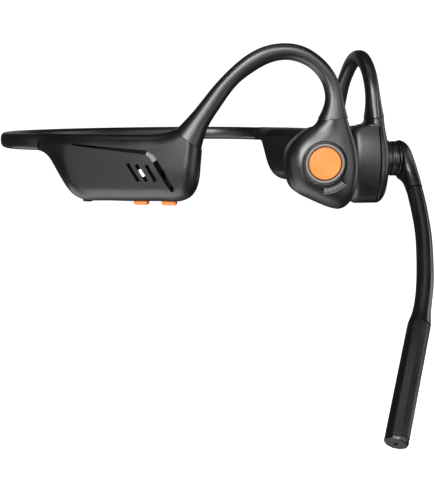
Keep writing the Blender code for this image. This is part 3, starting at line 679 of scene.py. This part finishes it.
def pod_half(outer):
    """Half a pod on one side of its parting line, cut off at the joint with the hook."""
    detail = sizes()
    outline = Outline(POD_OUTLINE, 0)
    sign = 1 if outer else -1
    rim = POD_SEAM_N + sign * GAP / 2
    bottom = min(outline.branches, key=lambda branch: branch[:, 1].mean())

    def face(s, z):
        low = np.interp(s, bottom[:, 0], bottom[:, 1])
        camber = CAMBER * np.clip(1 - (z - low) / CAMBER_REACH, 0, 1) ** 2
        return sign * (eased(POD_HALF_THICKNESS, s) - camber)

    places = stations(0.02, POD_END, 0.5)
    return pillow(outline, places, lambda s: rim, face, detail.pod_edge, detail.wall, detail.lip)


class HEADSET_OT_pods(bpy.types.Operator):
    """Outer and inner shells of both pods, with their parting line, groove and slots"""

    bl_idname = "headset.pods"
    bl_label = "Pods"

    def execute(self, context):
        (s0, z0), (s1, z1) = SEAM_LINE
        across = Vector((z0 - z1, 0, s1 - s0)).normalized()
        for name, side in SIDES.items():
            for outer in (True, False):
                shape = pod_half(outer)
                bmesh.ops.bisect_plane(shape, geom=shape.verts[:] + shape.edges[:] + shape.faces[:],
                                       dist=0.0001, plane_co=(s0, 0, z0), plane_no=across,
                                       clear_outer=True)
                bmesh.ops.holes_fill(shape, edges=shape.edges)
                part = "outer" if outer else "inner"
                made = solid(f"{name}_pod_{part}_cover", shape, on_arm(side))
                if outer:
                    self.carve_face(made, name, side)
                else:
                    self.carve_bottom(made, side)
                slot = "housing" if outer else "inner_housing"
                piece(made, moulded_abs() if outer else inner_abs(), "headset", slot,
                      f"{name}_pod_{part}_shell")
        return {"FINISHED"}

    def carve_face(self, made, name, side):
        """Cuts the kinked groove, and on the right arm the vent slots too."""
        turn_floor = POD_FACE_N - sizes().groove_depth
        cutters = [bar(GROOVE, GROOVE_WIDTHS, CUT_FLOOR, CUT_TOP),
                   bar(GROOVE_TURN, TURN_WIDTHS, turn_floor, CUT_TOP, TURN_SLANT),
                   bar(GROOVE_LEG, LEG_WIDTHS, CUT_FLOOR, CUT_TOP)]
        if side == RIGHT:
            cutters += [bar(ends, SLOT_WIDTHS, CUT_FLOOR, CUT_TOP) for ends in VENT_SLOTS]
        carve(made, *[solid(f"{name}_face_cutter_{i}", shape, on_arm(side))
                      for i, shape in enumerate(cutters)])

    def carve_bottom(self, made, side):
        """Cuts the holes for the volume buttons and the charging port, on the right arm only."""
        if side == LEFT:
            return
        holes = [rounded_block((s, KEY_N, VOLUME_HOLE_Z), VOLUME_HOLE, VOLUME_HOLE_EDGE)
                 for s in VOLUME_PLACES.values()]
        holes.append(rounded_block((PORT_S, KEY_N, PORT_Z), PORT_HOLE, PORT_EDGE))
        carve(made, *[solid(f"bottom_cutter_{i}", shape, on_arm(side)) for i, shape in enumerate(holes)])


# ---------------------------------------------------------------- ear hooks

# Pairs of edge points (outer, inner) as (s, z), then half width and its middle in n
HOOK_ROWS = [(47.9, -23.9, 55.5, -30.2, 4.9, 0.0), (49.9, -21.9, 56.4, -26.9, 4.2, 0.0),
             (52.3, -19.4, 57.7, -23.4, 3.5, 0.0),
             (56.2, -14.7, 60.9, -18.2, 2.8, 0.0), (59.9, -10.2, 64.3, -13.3, 2.45, 0.0),
             (64.6, -5.4, 68.1, -9.1, 2.3, 0.0), (69.4, -1.5, 72.0, -6.3, 2.3, 0.0),
             (75.0, 1.3, 76.4, -3.9, 2.3, 0.0), (81.2, 2.3, 81.3, -2.8, 2.3, 0.0),
             (86.8, 1.5, 85.2, -3.3, 2.3, 0.0), (92.2, -1.5, 89.2, -5.2, 2.3, 0.1),
             (96.4, -5.9, 92.3, -8.4, 2.3, 0.2), (98.9, -11.0, 93.9, -12.2, 2.3, 0.4),
             (100.2, -16.5, 93.7, -16.7, 2.6, 0.8), (101.3, -20.8, 91.8, -20.8, 3.1, 1.22)]
HOOK_SQUARENESS = 2.35
HOOK_STUB = 0.96                 # size of the stub at a joint, as a share of the hook
HOOK_ROOT_REACH = 0.1            # how far the stub runs into the pod
HOOK_LINE = 0.1                  # width of the line at a joint
HOOK_SEAM_N = 1.0
HOOK_SEAM_STEPS = (0.42, 0.22, 0.12, 0.05, 0.0, -0.05, -0.12, -0.22, -0.42)
HOOK_SEAM_DEPTH = 0.22
HOOK_SEAM_WIDTH = 0.1


def hook_section(half, width, centre):
    """Cross-section (across, n) of a hook: nearly an ellipse, with a parting groove on both edges."""
    def turn_at(n):
        share = min(max((n - centre) / width, -0.98), 0.98)
        return math.asin(power(share, HOOK_SQUARENESS / 2))

    near = [turn_at(HOOK_SEAM_N + step) for step in HOOK_SEAM_STEPS]
    outer = list(np.linspace(math.pi - near[0], near[0], 40))
    inner = list(np.linspace(near[-1], -math.pi - near[-1], 44))
    turns = outer[:-1] + near + inner[1:-1] + [math.pi - t for t in near[::-1][:-1]]
    section = []
    for turn in turns:
        x = power(math.cos(turn), 2 / HOOK_SQUARENESS) * half
        n = centre + power(math.sin(turn), 2 / HOOK_SQUARENESS) * width
        dent = HOOK_SEAM_DEPTH * math.exp(-((n - HOOK_SEAM_N) / HOOK_SEAM_WIDTH) ** 2)
        section.append((x - math.copysign(dent, x) if abs(x) > half * 0.5 else x, n))
    return section


class HEADSET_OT_hooks(bpy.types.Operator):
    """Silicone ear hooks, with the parting line that runs round their edges"""

    bl_idname = "headset.hooks"
    bl_label = "Ear hooks"

    def execute(self, context):
        rings = []
        for outer_s, outer_z, inner_s, inner_z, width, centre in fine(HOOK_ROWS, 170):
            middle = Vector(((outer_s + inner_s) / 2, (outer_z + inner_z) / 2))
            along = Vector((outer_s, outer_z)) - middle
            half = along.length
            along.normalize()
            rings.append([(middle.x + x * along.x, n, middle.y + x * along.y)
                          for x, n in hook_section(half, width, centre)])
        rings = self.with_spigots(rings)
        for name, side in SIDES.items():
            piece(solid(f"{name}_hook_skin", skin(rings), on_arm(side)), soft_silicone(), "headset",
                  "silicone", f"{name}_ear_hook")
        return {"FINISHED"}

    def with_spigots(self, rings):
        """Adds a smaller stub at both ends, which shows as a fine dark line at each joint."""
        made = [[np.array(p, float) for p in ring] for ring in rings]
        for last, before in ((0, 4), (-1, -5)):
            centre = sum(made[last]) / len(made[last])
            run = centre - sum(made[before]) / len(made[before])
            run /= np.linalg.norm(run)
            stub = [centre + (p - centre) * HOOK_STUB for p in made[last]]
            edge = [p - run * HOOK_LINE for p in made[last]]
            inset = [q - run * HOOK_LINE for q in stub]
            if last == 0:
                made[0] = edge
                made = [[q + run * HOOK_ROOT_REACH for q in stub], inset] + made
            else:
                made[-1] = edge
                made += [inset, [q + run * GAP for q in stub]]
        return made


# ---------------------------------------------------------------- transducers

# Outline of a transducer as (s, z): from the neck down its rear edge, then up the front
SHELL_OUTLINE = [(92.3, -19.6), (91.8, -21.1), (90.9, -22.4), (89.4, -23.6), (85.8, -26.2), (82.8, -29.8),
                 (81.9, -34.0), (82.5, -38.6), (84.3, -42.6), (88.5, -45.3), (93.2, -47.4), (96.9, -48.7),
                 (99.0, -48.9), (101.2, -47.9), (103.2, -45.2), (104.2, -42.0), (104.8, -38.0),
                 (104.8, -34.0), (104.1, -29.8), (103.0, -26.2), (102.0, -23.6), (101.3, -21.1),
                 (101.0, -19.6)]
SHELL_SEAM_N = 1.6
NECK_TOP = -21.1
NECK_END = -23.0                 # where the neck meets the drum
NECK_START = -32.5               # where the face starts to run up into the neck
NECK_FACE_N = 4.5
NECK_DROP = 0.5                  # how much further in the neck's seam lies
NECK_DEPTH = 2.9                 # bulge that closes the neck behind its seam
NECK_FILLET = 3.2                # how much more it bulges towards the drum
NECK_STEP = (-0.27, -0.19)       # step at the neck's end, measured from NECK_END
SHELL_EDGE_N = 5.15              # face of the shell near its edge
DOME = 0.65                      # how far the face rises from there to the button
DOME_R = 12.5
DRUM_FACE_N = -8.0
SEAT_R = 7.0
SEAT_FLOOR_N = 2.4
HUB_HOLE_R = 6.5
HUB_HOLE_FLOOR_N = 1.0
CUTTER_TOP_N = 9.0               # clear of every face


def shell_face(s, z):
    """Outer face of a transducer shell: a dome round the button that runs up into the neck."""
    r = np.hypot(np.asarray(s, float) - AXIS_S, np.asarray(z, float) - AXIS_Z)
    neck = smoothstep(z, NECK_START, NECK_TOP)
    dome = DOME * np.clip(1 - (r / DOME_R) ** 2, -0.6, 1)
    return (SHELL_EDGE_N + dome) * (1 - neck) + NECK_FACE_N * neck


class HEADSET_OT_transducers(bpy.types.Operator):
    """Pear-shaped outer shells and inner drums of both transducers"""

    bl_idname = "headset.transducers"
    bl_label = "Transducers"

    def execute(self, context):
        detail = sizes()
        outline = Outline(SHELL_OUTLINE, 1)

        def rim(z):
            return SHELL_SEAM_N - NECK_DROP * float(smoothstep(z, NECK_END, NECK_TOP))

        def under(z):
            share = min(max((NECK_TOP - z) / (NECK_TOP - NECK_END), 0.0), 1.0)
            fillet = NECK_FILLET * (1 - math.sqrt(1 - share ** 2))
            low, high = NECK_STEP
            return (NECK_DEPTH + fillet) * float(smoothstep(z, NECK_END + low, NECK_END + high))

        def drum_face(s, z):
            top = np.clip((NECK_END - GAP - z) / detail.drum_edge, 0, 1)
            rounding = detail.drum_edge * (1 - np.sqrt(1 - (1 - top) ** 2))
            return DRUM_FACE_N + rounding + np.zeros(np.shape(s))

        # Close rings across the step at the neck's end, and round the drum's top edge
        step = NECK_END + np.linspace(-0.29, 0.0, 8)
        body = stations(NECK_TOP, outline.end + 0.02, 0.4)
        shell_places = np.sort(np.concatenate([body, step]))[::-1]
        roof = NECK_END - GAP - detail.drum_edge * (1 - np.cos(np.linspace(0, math.pi / 2, 14)[:-1]))
        drum_places = np.concatenate([roof, stations(roof[-1] - 0.4, outline.end + 0.1, 0.5)])
        for name, side in SIDES.items():
            shape = pillow(outline, shell_places, rim, shell_face, detail.shell_edge, detail.wall,
                           detail.lip, 110, under)
            shell = solid(f"{name}_transducer_cover", shape, on_arm(side))
            if side == RIGHT:
                self.carve_right(shell)
            else:
                hole = plug(HUB_HOLE_R, HUB_HOLE_FLOOR_N, CUTTER_TOP_N)
                carve(shell, solid("hub_cutter", hole, on_axis(LEFT)))
            piece(shell, moulded_abs(), "headset", "housing", f"{name}_transducer_shell")
            drum = pillow(outline, drum_places, lambda z: SHELL_SEAM_N - GAP, drum_face,
                          detail.drum_edge, detail.wall, detail.lip)
            piece(solid(f"{name}_drum_cover", drum, on_arm(side)), inner_abs(), "headset",
                  "inner_housing", f"{name}_transducer_drum")
        return {"FINISHED"}

    def carve_right(self, shell):
        """Cuts the main button's seat and the slot of the sound outlet."""
        seat = plug(SEAT_R, SEAT_FLOOR_N, CUTTER_TOP_N, FINE_STEPS)
        slot = arc_strip(*OUTLET_SLOT, OUTLET_FLOOR_N, CUTTER_TOP_N, OUTLET_MORE)
        carve(shell, solid("seat_cutter", seat, on_axis(RIGHT)),
              solid("slot_cutter", slot, on_axis(RIGHT)))


# Skin pad: its centre (s, z), half extents, and rings as (share of them, n) from the drum outwards
PAD_PLACE = (94.2, -36.0)
PAD_EXTENT = (6.9, 7.4)
PAD_ROWS = [(1.0, -8.3), (1.0, -8.55), (0.985, -8.68), (0.95, -8.74), (0.9, -8.7), (0.87, -8.62),
            (0.84, -8.66), (0.8, -8.74), (0.5, -8.79), (0.2, -8.8), (0.02, -8.8)]


class HEADSET_OT_pads(bpy.types.Operator):
    """Silicone pads that pass the vibration to the skin, with a low rim"""

    bl_idname = "headset.pads"
    bl_label = "Skin pads"

    def execute(self, context):
        (s, z), (half_s, half_z) = PAD_PLACE, PAD_EXTENT
        angles = np.linspace(0, 2 * math.pi, ROUND_STEPS, endpoint=False)
        rings = [[(s + half_s * share * math.cos(t), n, z + half_z * share * math.sin(t)) for t in angles]
                 for share, n in PAD_ROWS]
        for name, side in SIDES.items():
            made = solid(f"{name}_skin_pad", skin(rings), on_arm(side))
            piece(made, dimpled_silicone(), "headset", "skin_pad", f"{name}_contact_pad")
        return {"FINISHED"}


# ---------------------------------------------------------------- main button and grille

# Profiles about the button's axis as (radius, n)
CAP_TOP_N = 6.2
CAP_PROFILE = [(0.0, 4.0), (4.9, 4.0), (4.95, 4.3), (4.95, 5.95), (4.88, 6.12), (4.7, CAP_TOP_N)]
RINGS_R = 4.55                   # where the turned rings on the cap start
RING_HEIGHT = 0.035
RING_PROFILE = [(5.4, 3.95), (5.6, 3.95), (5.6, 5.65), (6.1, 5.8), (6.1, 6.05), (6.0, 6.2),
                (5.4, 6.2), (5.2, 6.0), (5.2, 3.95), (5.4, 3.95)]
RING_EDGE = 0.1

# Sound outlet: a slot from one radius to another, with a rim and ribs that stand in it
GRILLE_R = 8.35
GRILLE_START, GRILLE_END = math.radians(-91), math.radians(-45)
OUTLET_SLOT = (GRILLE_R - 0.85, GRILLE_R + 1.15)
OUTLET_FLOOR_N = 4.0
OUTLET_MORE = 0.05               # how far the slot runs past the ribs, in radians
OUTLET_RIM = (GRILLE_R + 0.95, GRILLE_R + 1.1)
OUTLET_RIM_N = (4.2, 5.5)
RIM_MORE = 0.03
RIB = (1.3, 0.34, 1.2)
RIB_N = 4.85


def arc_strip(inner, outer, low, high, more=0.0, steps=28):
    """Curved bar about the button's axis, from radius inner to outer and from n = low to high.

    more lengthens it at both ends, in radians.
    """
    rings = []
    corners = ((inner, low), (outer, low), (outer, high), (inner, high))
    for angle in np.linspace(GRILLE_START - more, GRILLE_END + more, steps):
        c, s = math.cos(angle), math.sin(angle)
        rings.append([(r * c, r * s, n) for r, n in corners])
    return skin(rings)


class HEADSET_OT_main_button(bpy.types.Operator):
    """Orange main button with turned rings, its metal ring, and the ribbed sound outlet below it"""

    bl_idname = "headset.main_button"
    bl_label = "Main button"

    def execute(self, context):
        pitch = sizes().button_pitch
        cap = list(CAP_PROFILE)
        for r in np.arange(RINGS_R, pitch * 0.5, -pitch / 8):
            cap.append((r, CAP_TOP_N + RING_HEIGHT * math.sin(2 * math.pi * r / pitch)))
        cap.append((0.0, CAP_TOP_N))
        piece(solid("main_button_cap", turned(cap, FINE_STEPS), on_axis(RIGHT)), orange_abs(),
              "multifunction_key", "orange_buttons", "multifunction_button", sharp=60)
        ring = turned(rounded(RING_PROFILE, RING_EDGE), FINE_STEPS)
        piece(solid("main_button_ring", ring, on_axis(RIGHT)), blasted_aluminium(), "headset",
              "grey_ring", "button_ring")
        self.grille()
        return {"FINISHED"}

    def grille(self):
        """Makes the outlet's rim and its ribs, as one moulding."""
        shape = arc_strip(*OUTLET_RIM, *OUTLET_RIM_N, RIM_MORE)
        ribs = sizes().ribs
        for i in range(ribs):
            angle = GRILLE_START + (GRILLE_END - GRILLE_START) * (i + 0.5) / ribs
            made = bmesh.ops.create_cube(shape, size=1.0)["verts"]
            bmesh.ops.scale(shape, vec=RIB, verts=made)
            bmesh.ops.translate(shape, vec=(GRILLE_R, 0, RIB_N), verts=made)
            bmesh.ops.rotate(shape, cent=(0, 0, 0), matrix=Matrix.Rotation(angle, 3, "Z"), verts=made)
        piece(solid("sound_outlet_grille", shape, on_axis(RIGHT)), painted_zinc(), "headset",
              "grey_grille", "vent_grille")


# ---------------------------------------------------------------- small parts under the right pod

# Blocks as (along s, across n, up z), each rounded over its edge radius
KEY_N = -0.6                     # middle of the buttons and the port
VOLUME_PLACES = {"volume_down": 35.8, "volume_up": 45.1}
VOLUME_CAP = (4.6, 3.0, 2.7)
VOLUME_CAP_EDGE = 0.55
VOLUME_CAP_Z = -46.65
VOLUME_HOLE = (5.2, 3.5, 5.0)
VOLUME_HOLE_EDGE = 0.6
VOLUME_HOLE_Z = -46.0
PORT_S = 17.05
PORT_Z = -46.6
PORT_PLUG = (2.9, 2.6, 1.9)
PORT_HOLE = (3.5, 3.2, 3.0)
PORT_EDGE = 0.5

# Light pipe in the middle vent slot: places along the slot, half widths there, and its n
PIPE_SHARES = (0.3, 0.4, 0.6, 0.7)
PIPE_WIDTHS = (0.28, 0.36, 0.36, 0.28)
PIPE_N = (3.9, 4.95)


class HEADSET_OT_small_parts(bpy.types.Operator):
    """Volume buttons, charging port cover and status light of the right pod"""

    bl_idname = "headset.small_parts"
    bl_label = "Small parts"

    def execute(self, context):
        place = on_arm(RIGHT)
        for name, s in VOLUME_PLACES.items():
            shape = rounded_block((s, KEY_N, VOLUME_CAP_Z), VOLUME_CAP, VOLUME_CAP_EDGE, 5)
            piece(solid(f"{name}_cap", shape, place), orange_abs(), f"{name}_key", "orange_buttons",
                  f"{name}_button", sharp=60)
        cover = rounded_block((PORT_S, KEY_N, PORT_Z), PORT_PLUG, PORT_EDGE)
        piece(solid("port_plug", cover, place), black_rubber(), "headset", "rubber",
              "charging_port_cover")
        (s0, z0), (s1, z1) = VENT_SLOTS[1]
        line = [(s0 + (s1 - s0) * t, z0 + (z1 - z0) * t) for t in PIPE_SHARES]
        pipe = bar(line, PIPE_WIDTHS, *PIPE_N)
        piece(solid("status_light", pipe, place), frosted_light_pipe(), "headset", "light_pipe",
              "status_light_pipe")
        return {"FINISHED"}


# ---------------------------------------------------------------- boom microphone

# Profiles about the hub's axis as (radius, n)
COLLAR_PROFILE = [(1.9, 3.6), (5.6, 3.6), (5.6, 4.9), (6.3, 4.9), (6.3, 7.0), (5.5, 7.5),
                  (5.5, 8.1), (5.85, 8.3), (5.85, 9.75), (1.9, 9.75), (1.9, 3.6)]
COLLAR_EDGE = 0.25
DISC_PROFILE = [(1.9, 10.05), (5.9, 10.05), (5.9, 10.75), (1.9, 10.75), (1.9, 10.05)]
DISC_EDGE = 0.2

# Elbow: pairs of edge points (far, near) as (reach, n), then the half width
ELBOW_ROWS = [(-5.9, 11.05, 5.9, 11.05, 5.9), (-5.8, 12.0, 6.8, 11.1, 5.9), (-4.6, 13.9, 7.4, 11.15, 5.5),
              (-1.6, 15.3, 8.1, 11.2, 4.8), (2.2, 16.0, 9.0, 11.3, 4.0), (6.6, 16.4, 10.6, 11.4, 3.3),
              (10.2, 16.55, 11.9, 11.4, 2.9), (13.0, 16.6, 13.2, 11.4, 2.65)]
ELBOW_POWER = 0.85               # below 1 the section is squarer than an ellipse

# Arm as (reach, n, radius), and the barrel and its cap as (reach, radius) along the barrel's slope
ARM_ROWS = [(13.5, 14.0, 2.65), (18.0, 13.95, 2.65), (24.6, 13.6, 2.6), (31.6, 12.9, 2.62),
            (38.4, 11.7, 2.65), (45.0, 10.3, 2.7), (51.4, 8.6, 2.7), (57.5, 6.5, 2.75),
            (60.3, 5.4, 3.0), (63.2, 4.18, 3.5)]
BARREL_ROWS = [(BARREL_START, 3.3), (BARREL_START + 0.1, 3.42), (BARREL_START + 0.3, 3.5),
               (98.3, 3.5), (98.4, 3.42)]
CAP_ROWS = [(98.45, 3.2), (98.5, 3.2), (98.51, 3.42), (98.6, 3.5), (99.7, 3.5), (99.85, 3.4),
            (BARREL_END, 3.2)]
ARM_FLATNESS = 0.55              # 0 is round, 1 has quite flat facets
BARREL_FLATNESS = 0.95
PORT_CUT = (2.0, 1.9, 1.0)       # sound port in the end cap
PORT_CUT_EDGE = 0.45


def facet(turn, count, flatness):
    """Radius, as a share of the largest, of a circle flattened into facets."""
    sector = 2 * math.pi / count
    off = (turn + sector / 2) % sector - sector / 2
    flat = math.cos(sector / 2) / math.cos(off)
    return (1 - flatness) + flatness * flat


def boom_rings(rows, flatness, count=8):
    """Faceted rings across a path of (reach, n, radius)."""
    rings = []
    middle = np.array(rows)[:, :2]
    runs = np.gradient(middle, axis=0)
    for (reach, n, radius), run in zip(rows, runs):
        run = run / np.linalg.norm(run)
        side = Vector((-run[1], run[0]))
        ring = []
        for turn in np.linspace(0, 2 * math.pi, ROUND_STEPS, endpoint=False):
            r = radius * facet(turn, count, flatness)
            ring.append((reach + side.x * r * math.cos(turn), r * math.sin(turn),
                         n + side.y * r * math.cos(turn)))
        rings.append(ring)
    return rings


def barrel_row(reach, radius):
    """Place (reach, n) and radius of a section of the barrel."""
    return reach, BARREL_N + (reach - BARREL_START) * BARREL_SLOPE, radius


class HEADSET_OT_boom(bpy.types.Operator):
    """Boom microphone: fixed hub, turning disc, elbow, arm, faceted barrel and end cap"""

    bl_idname = "headset.boom"
    bl_label = "Boom microphone"

    def execute(self, context):
        collar = turned(rounded(COLLAR_PROFILE, COLLAR_EDGE))
        self.add_piece("hub_collar", collar, "boom_hub_collar", "headset", on_axis(LEFT))
        self.add_piece("hub_disc", turned(rounded(DISC_PROFILE, DISC_EDGE)), "boom_hub_disc")
        self.add_piece("boom_elbow_cover", self.elbow(), "boom_elbow")
        self.add_piece("boom_arm_cover", self.arm(), "boom_arm")
        barrel = [barrel_row(*row) for row in BARREL_ROWS]
        self.add_piece("mic_barrel_cover", skin(boom_rings(barrel, BARREL_FLATNESS, BARREL_FACETS)),
                       "mic_barrel", sharp=20)
        cap = [barrel_row(*row) for row in CAP_ROWS]
        made = solid("mic_end_cover", skin(boom_rings(cap, BARREL_FLATNESS, BARREL_FACETS)), on_boom)
        carve(made, solid("port_cutter", self.sound_port(), on_boom))
        piece(made, moulded_abs(), "boom", "housing", "mic_end_cap")
        return {"FINISHED"}

    def add_piece(self, name, shape, node, body="boom", place=on_boom, sharp=32.0):
        """Makes one piece of the boom from its shape, in the housing's finish."""
        piece(solid(name, shape, place), moulded_abs(), body, "housing", node, sharp=sharp)

    def elbow(self):
        """The elbow's shape, through its rows of edge points."""
        rings = []
        for far_a, far_n, near_a, near_n, width in fine(ELBOW_ROWS, 80):
            middle = Vector(((far_a + near_a) / 2, (far_n + near_n) / 2))
            half = Vector((far_a, far_n)) - middle
            ring = []
            for turn in np.linspace(0, 2 * math.pi, ROUND_STEPS, endpoint=False):
                c = power(math.cos(turn), ELBOW_POWER)
                s = power(math.sin(turn), ELBOW_POWER)
                ring.append((middle.x + c * half.x, s * width, middle.y + c * half.y))
            rings.append(ring)
        return skin(rings)

    def arm(self):
        """The arm's shape, with a plug into the elbow and a stub into the barrel."""
        rows = fine(ARM_ROWS, 120)
        reach, n, radius = rows[0]
        ends = [(reach - SPIGOT_REACH, n, SPIGOT * radius), (reach - 0.01, n, SPIGOT * radius)]
        reach, n, radius = rows[-1]
        stub = [barrel_row(reach + run, SPIGOT * radius) for run in (0.01, SPIGOT_REACH)]
        return skin(boom_rings([*ends, *rows, *stub], ARM_FLATNESS))

    def sound_port(self):
        """Cutter for the sound port, square to the barrel's end."""
        slope = Vector((1, 0, BARREL_SLOPE)).normalized()
        tilt = Vector((1, 0, 0)).rotation_difference(slope).to_matrix()
        port = rounded_block((0, 0, 0), PORT_CUT, PORT_CUT_EDGE)
        bmesh.ops.rotate(port, cent=(0, 0, 0), matrix=tilt, verts=port.verts)
        bmesh.ops.translate(port, vec=(BARREL_END, 0, barrel_row(BARREL_END, 0)[1]), verts=port.verts)
        return port


# ---------------------------------------------------------------- pieces inside, kept from the CAD

class HEADSET_OT_inner_parts(bpy.types.Operator):
    """Materials of the springs, magnets, coils, boards and switches inside"""

    bl_idname = "headset.inner_parts"
    bl_label = "Inner parts"

    def execute(self, context):
        steel, nickel, board = stainless_steel(), nickel_plating(), epoxy_board()
        kinds = {"wire": spring_titanium(), "board": board, "can": steel, "socket": steel,
                 "switch": steel, "cell": pouch_foil(), "yoke": steel, "magnet": nickel,
                 "coil": copper_wire(), "plate": steel, "pin": steel, "retaining_ring": steel,
                 "cable": black_rubber(), "capsule": nickel, "membrane": vent_mesh()}
        for name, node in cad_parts.items():
            if node.hide_render:
                continue
            kind = next((kinds[word] for word in kinds if name.endswith(word)), None)
            if kind is None:
                raise RuntimeError(f"no finish for {name}")
            node.data.materials.clear()
            node.data.materials.append(kind)
        return {"FINISHED"}


# ---------------------------------------------------------------- stage

CAMERA_PLACE = (0.1626, -0.2554, -0.0170)
CAMERA_AZIMUTH = math.radians(39.0)
CAMERA_TILT = math.radians(8.9)
CAMERA_LENS = 65.45
FLOOR_Z = -0.2
FLOOR_REACH = 2.5
BACKDROP_R = 3.0
LIGHT_TARGET = (0.0, 0.0, -0.03)
WORLD_FILL = 0.03                # faint even light from all round

# Lights as (name, angle round the object, height, distance, size, radiance).  Angles are in degrees,
# counted from the side that the right arm faces, and the camera's is 39.
LIGHTS = [("key_strip", 25, 20, 1.0, (0.24, 0.8), 14.5),
          ("arch_light", 46, 27, 1.0, (0.32, 0.26), 10.5),
          ("pod_panel", -8, -4, 1.2, (0.9, 0.7), 0.66),
          ("top_strip", 20, 78, 0.9, (0.9, 0.35), 0.7),
          ("low_panel", -3, -47, 0.5, (0.44, 0.4), 2.4),
          ("low_left", -70, -42, 0.7, (0.5, 0.4), 1.6),
          ("floor_glow", -20, -82, 0.5, (0.5, 0.5), 0.42),
          ("front_panel", 62, 22, 1.0, (0.3, 0.5), 1.6),
          ("side_panel", 88, 4, 1.0, (0.75, 0.8), 1.5),
          ("front_rim", 148, 6, 1.1, (0.5, 0.9), 1.6),
          ("back_panel", 219, 12, 1.2, (1.2, 0.5), 0.4)]


def aim(made, place, target):
    """Puts a light or the camera at place, looking at target."""
    made.location = place
    made.rotation_euler = (Vector(target) - Vector(place)).to_track_quat("-Z", "Y").to_euler()


class HEADSET_OT_stage(bpy.types.Operator):
    """Camera, pale floor, backdrop and soft studio lights"""

    bl_idname = "headset.stage"
    bl_label = "Stage"

    def execute(self, context):
        camera = bpy.data.objects.new("camera", bpy.data.cameras.new("camera"))
        context.scene.collection.objects.link(camera)
        camera.data.lens = CAMERA_LENS
        camera.data.sensor_width = 36.0
        camera.data.clip_start = 0.01
        look = Vector((-math.sin(CAMERA_AZIMUTH) * math.cos(CAMERA_TILT),
                       math.cos(CAMERA_AZIMUTH) * math.cos(CAMERA_TILT), -math.sin(CAMERA_TILT)))
        aim(camera, CAMERA_PLACE, Vector(CAMERA_PLACE) + look)
        context.scene.camera = camera
        context.scene.view_settings.view_transform = "Standard"
        self.backdrop(context)
        self.lights(context)
        return {"FINISHED"}

    def backdrop(self, context):
        """Adds a faint white world, and a glowing floor and dome that only the camera sees."""
        world = bpy.data.worlds.new("studio")
        context.scene.world = world
        world.use_nodes = True
        background = world.node_tree.nodes["Background"]
        background.inputs["Color"].default_value = linear("#FFFFFF")
        background.inputs["Strength"].default_value = WORLD_FILL
        paper = bpy.data.materials.new("pale_paper")
        paper.use_nodes = True
        shader = paper.node_tree.nodes["Principled BSDF"]
        shader.inputs["Base Color"].default_value = colours().floor
        shader.inputs["Roughness"].default_value = 1.0
        shader.inputs["Specular IOR Level"].default_value = 0.0
        shader.inputs["Emission Color"].default_value = colours().floor
        shader.inputs["Emission Strength"].default_value = 1.0
        floor = bmesh.new()
        bmesh.ops.create_grid(floor, x_segments=1, y_segments=1, size=FLOOR_REACH)
        bmesh.ops.translate(floor, vec=(0, 0, FLOOR_Z), verts=floor.verts)
        dome = bmesh.new()
        bmesh.ops.create_uvsphere(dome, u_segments=48, v_segments=24, radius=BACKDROP_R)
        for name, shape in (("floor", floor), ("backdrop", dome)):
            mesh = bpy.data.meshes.new(name)
            shape.to_mesh(mesh)
            shape.free()
            mesh.materials.append(paper)
            made = bpy.data.objects.new(name, mesh)
            context.scene.collection.objects.link(made)
            made.visible_glossy = False
            made.visible_diffuse = False
            made.visible_shadow = False

    def lights(self, context):
        """Adds the rectangular lights, which the camera doesn't see."""
        for name, angle, height, distance, extent, strength in LIGHTS:
            lamp = bpy.data.lights.new(name, "AREA")
            lamp.shape = "RECTANGLE"
            lamp.size, lamp.size_y = extent
            lamp.energy = strength * math.pi * extent[0] * extent[1]
            made = bpy.data.objects.new(name, lamp)
            context.scene.collection.objects.link(made)
            made.visible_camera = False
            turn, lift = math.radians(angle), math.radians(height)
            offset = Vector((math.sin(turn) * math.cos(lift), -math.cos(turn) * math.cos(lift),
                             math.sin(lift)))
            aim(made, Vector(LIGHT_TARGET) + distance * offset, LIGHT_TARGET)


# ---------------------------------------------------------------- add-on

OPERATORS = (HEADSET_OT_neckband, HEADSET_OT_pods, HEADSET_OT_hooks, HEADSET_OT_transducers,
             HEADSET_OT_pads, HEADSET_OT_main_button, HEADSET_OT_small_parts, HEADSET_OT_boom,
             HEADSET_OT_inner_parts, HEADSET_OT_stage)


class HEADSET_PT_build(bpy.types.Panel):
    """Lists the steps that build the headset, and its sizes and colours"""

    bl_idname = "HEADSET_PT_build"
    bl_label = "Bone Conduction Headset"
    bl_space_type = "VIEW_3D"
    bl_region_type = "UI"
    bl_category = "Headset"

    def draw(self, context):
        for step in OPERATORS:
            self.layout.operator(step.bl_idname)
        for group in (context.scene.headset_sizes, context.scene.headset_colours):
            box = self.layout.box()
            for name in group.__annotations__:
                box.prop(group, name)


CLASSES = (HeadsetColours, HeadsetSizes, *OPERATORS, HEADSET_PT_build)


def register():
    """Adds the add-on's classes and its two groups of properties."""
    for kind in CLASSES:
        bpy.utils.register_class(kind)
    bpy.types.Scene.headset_sizes = bpy.props.PointerProperty(type=HeadsetSizes)
    bpy.types.Scene.headset_colours = bpy.props.PointerProperty(type=HeadsetColours)


def unregister():
    """Takes them away again."""
    del bpy.types.Scene.headset_sizes
    del bpy.types.Scene.headset_colours
    for kind in reversed(CLASSES):
        bpy.utils.unregister_class(kind)


def main():
    """Builds the whole headset, one operator after another."""
    register()
    for step in OPERATORS:
        group, name = step.bl_idname.split(".")
        getattr(getattr(bpy.ops, group), name)()


if __name__ == "__main__":
    main()
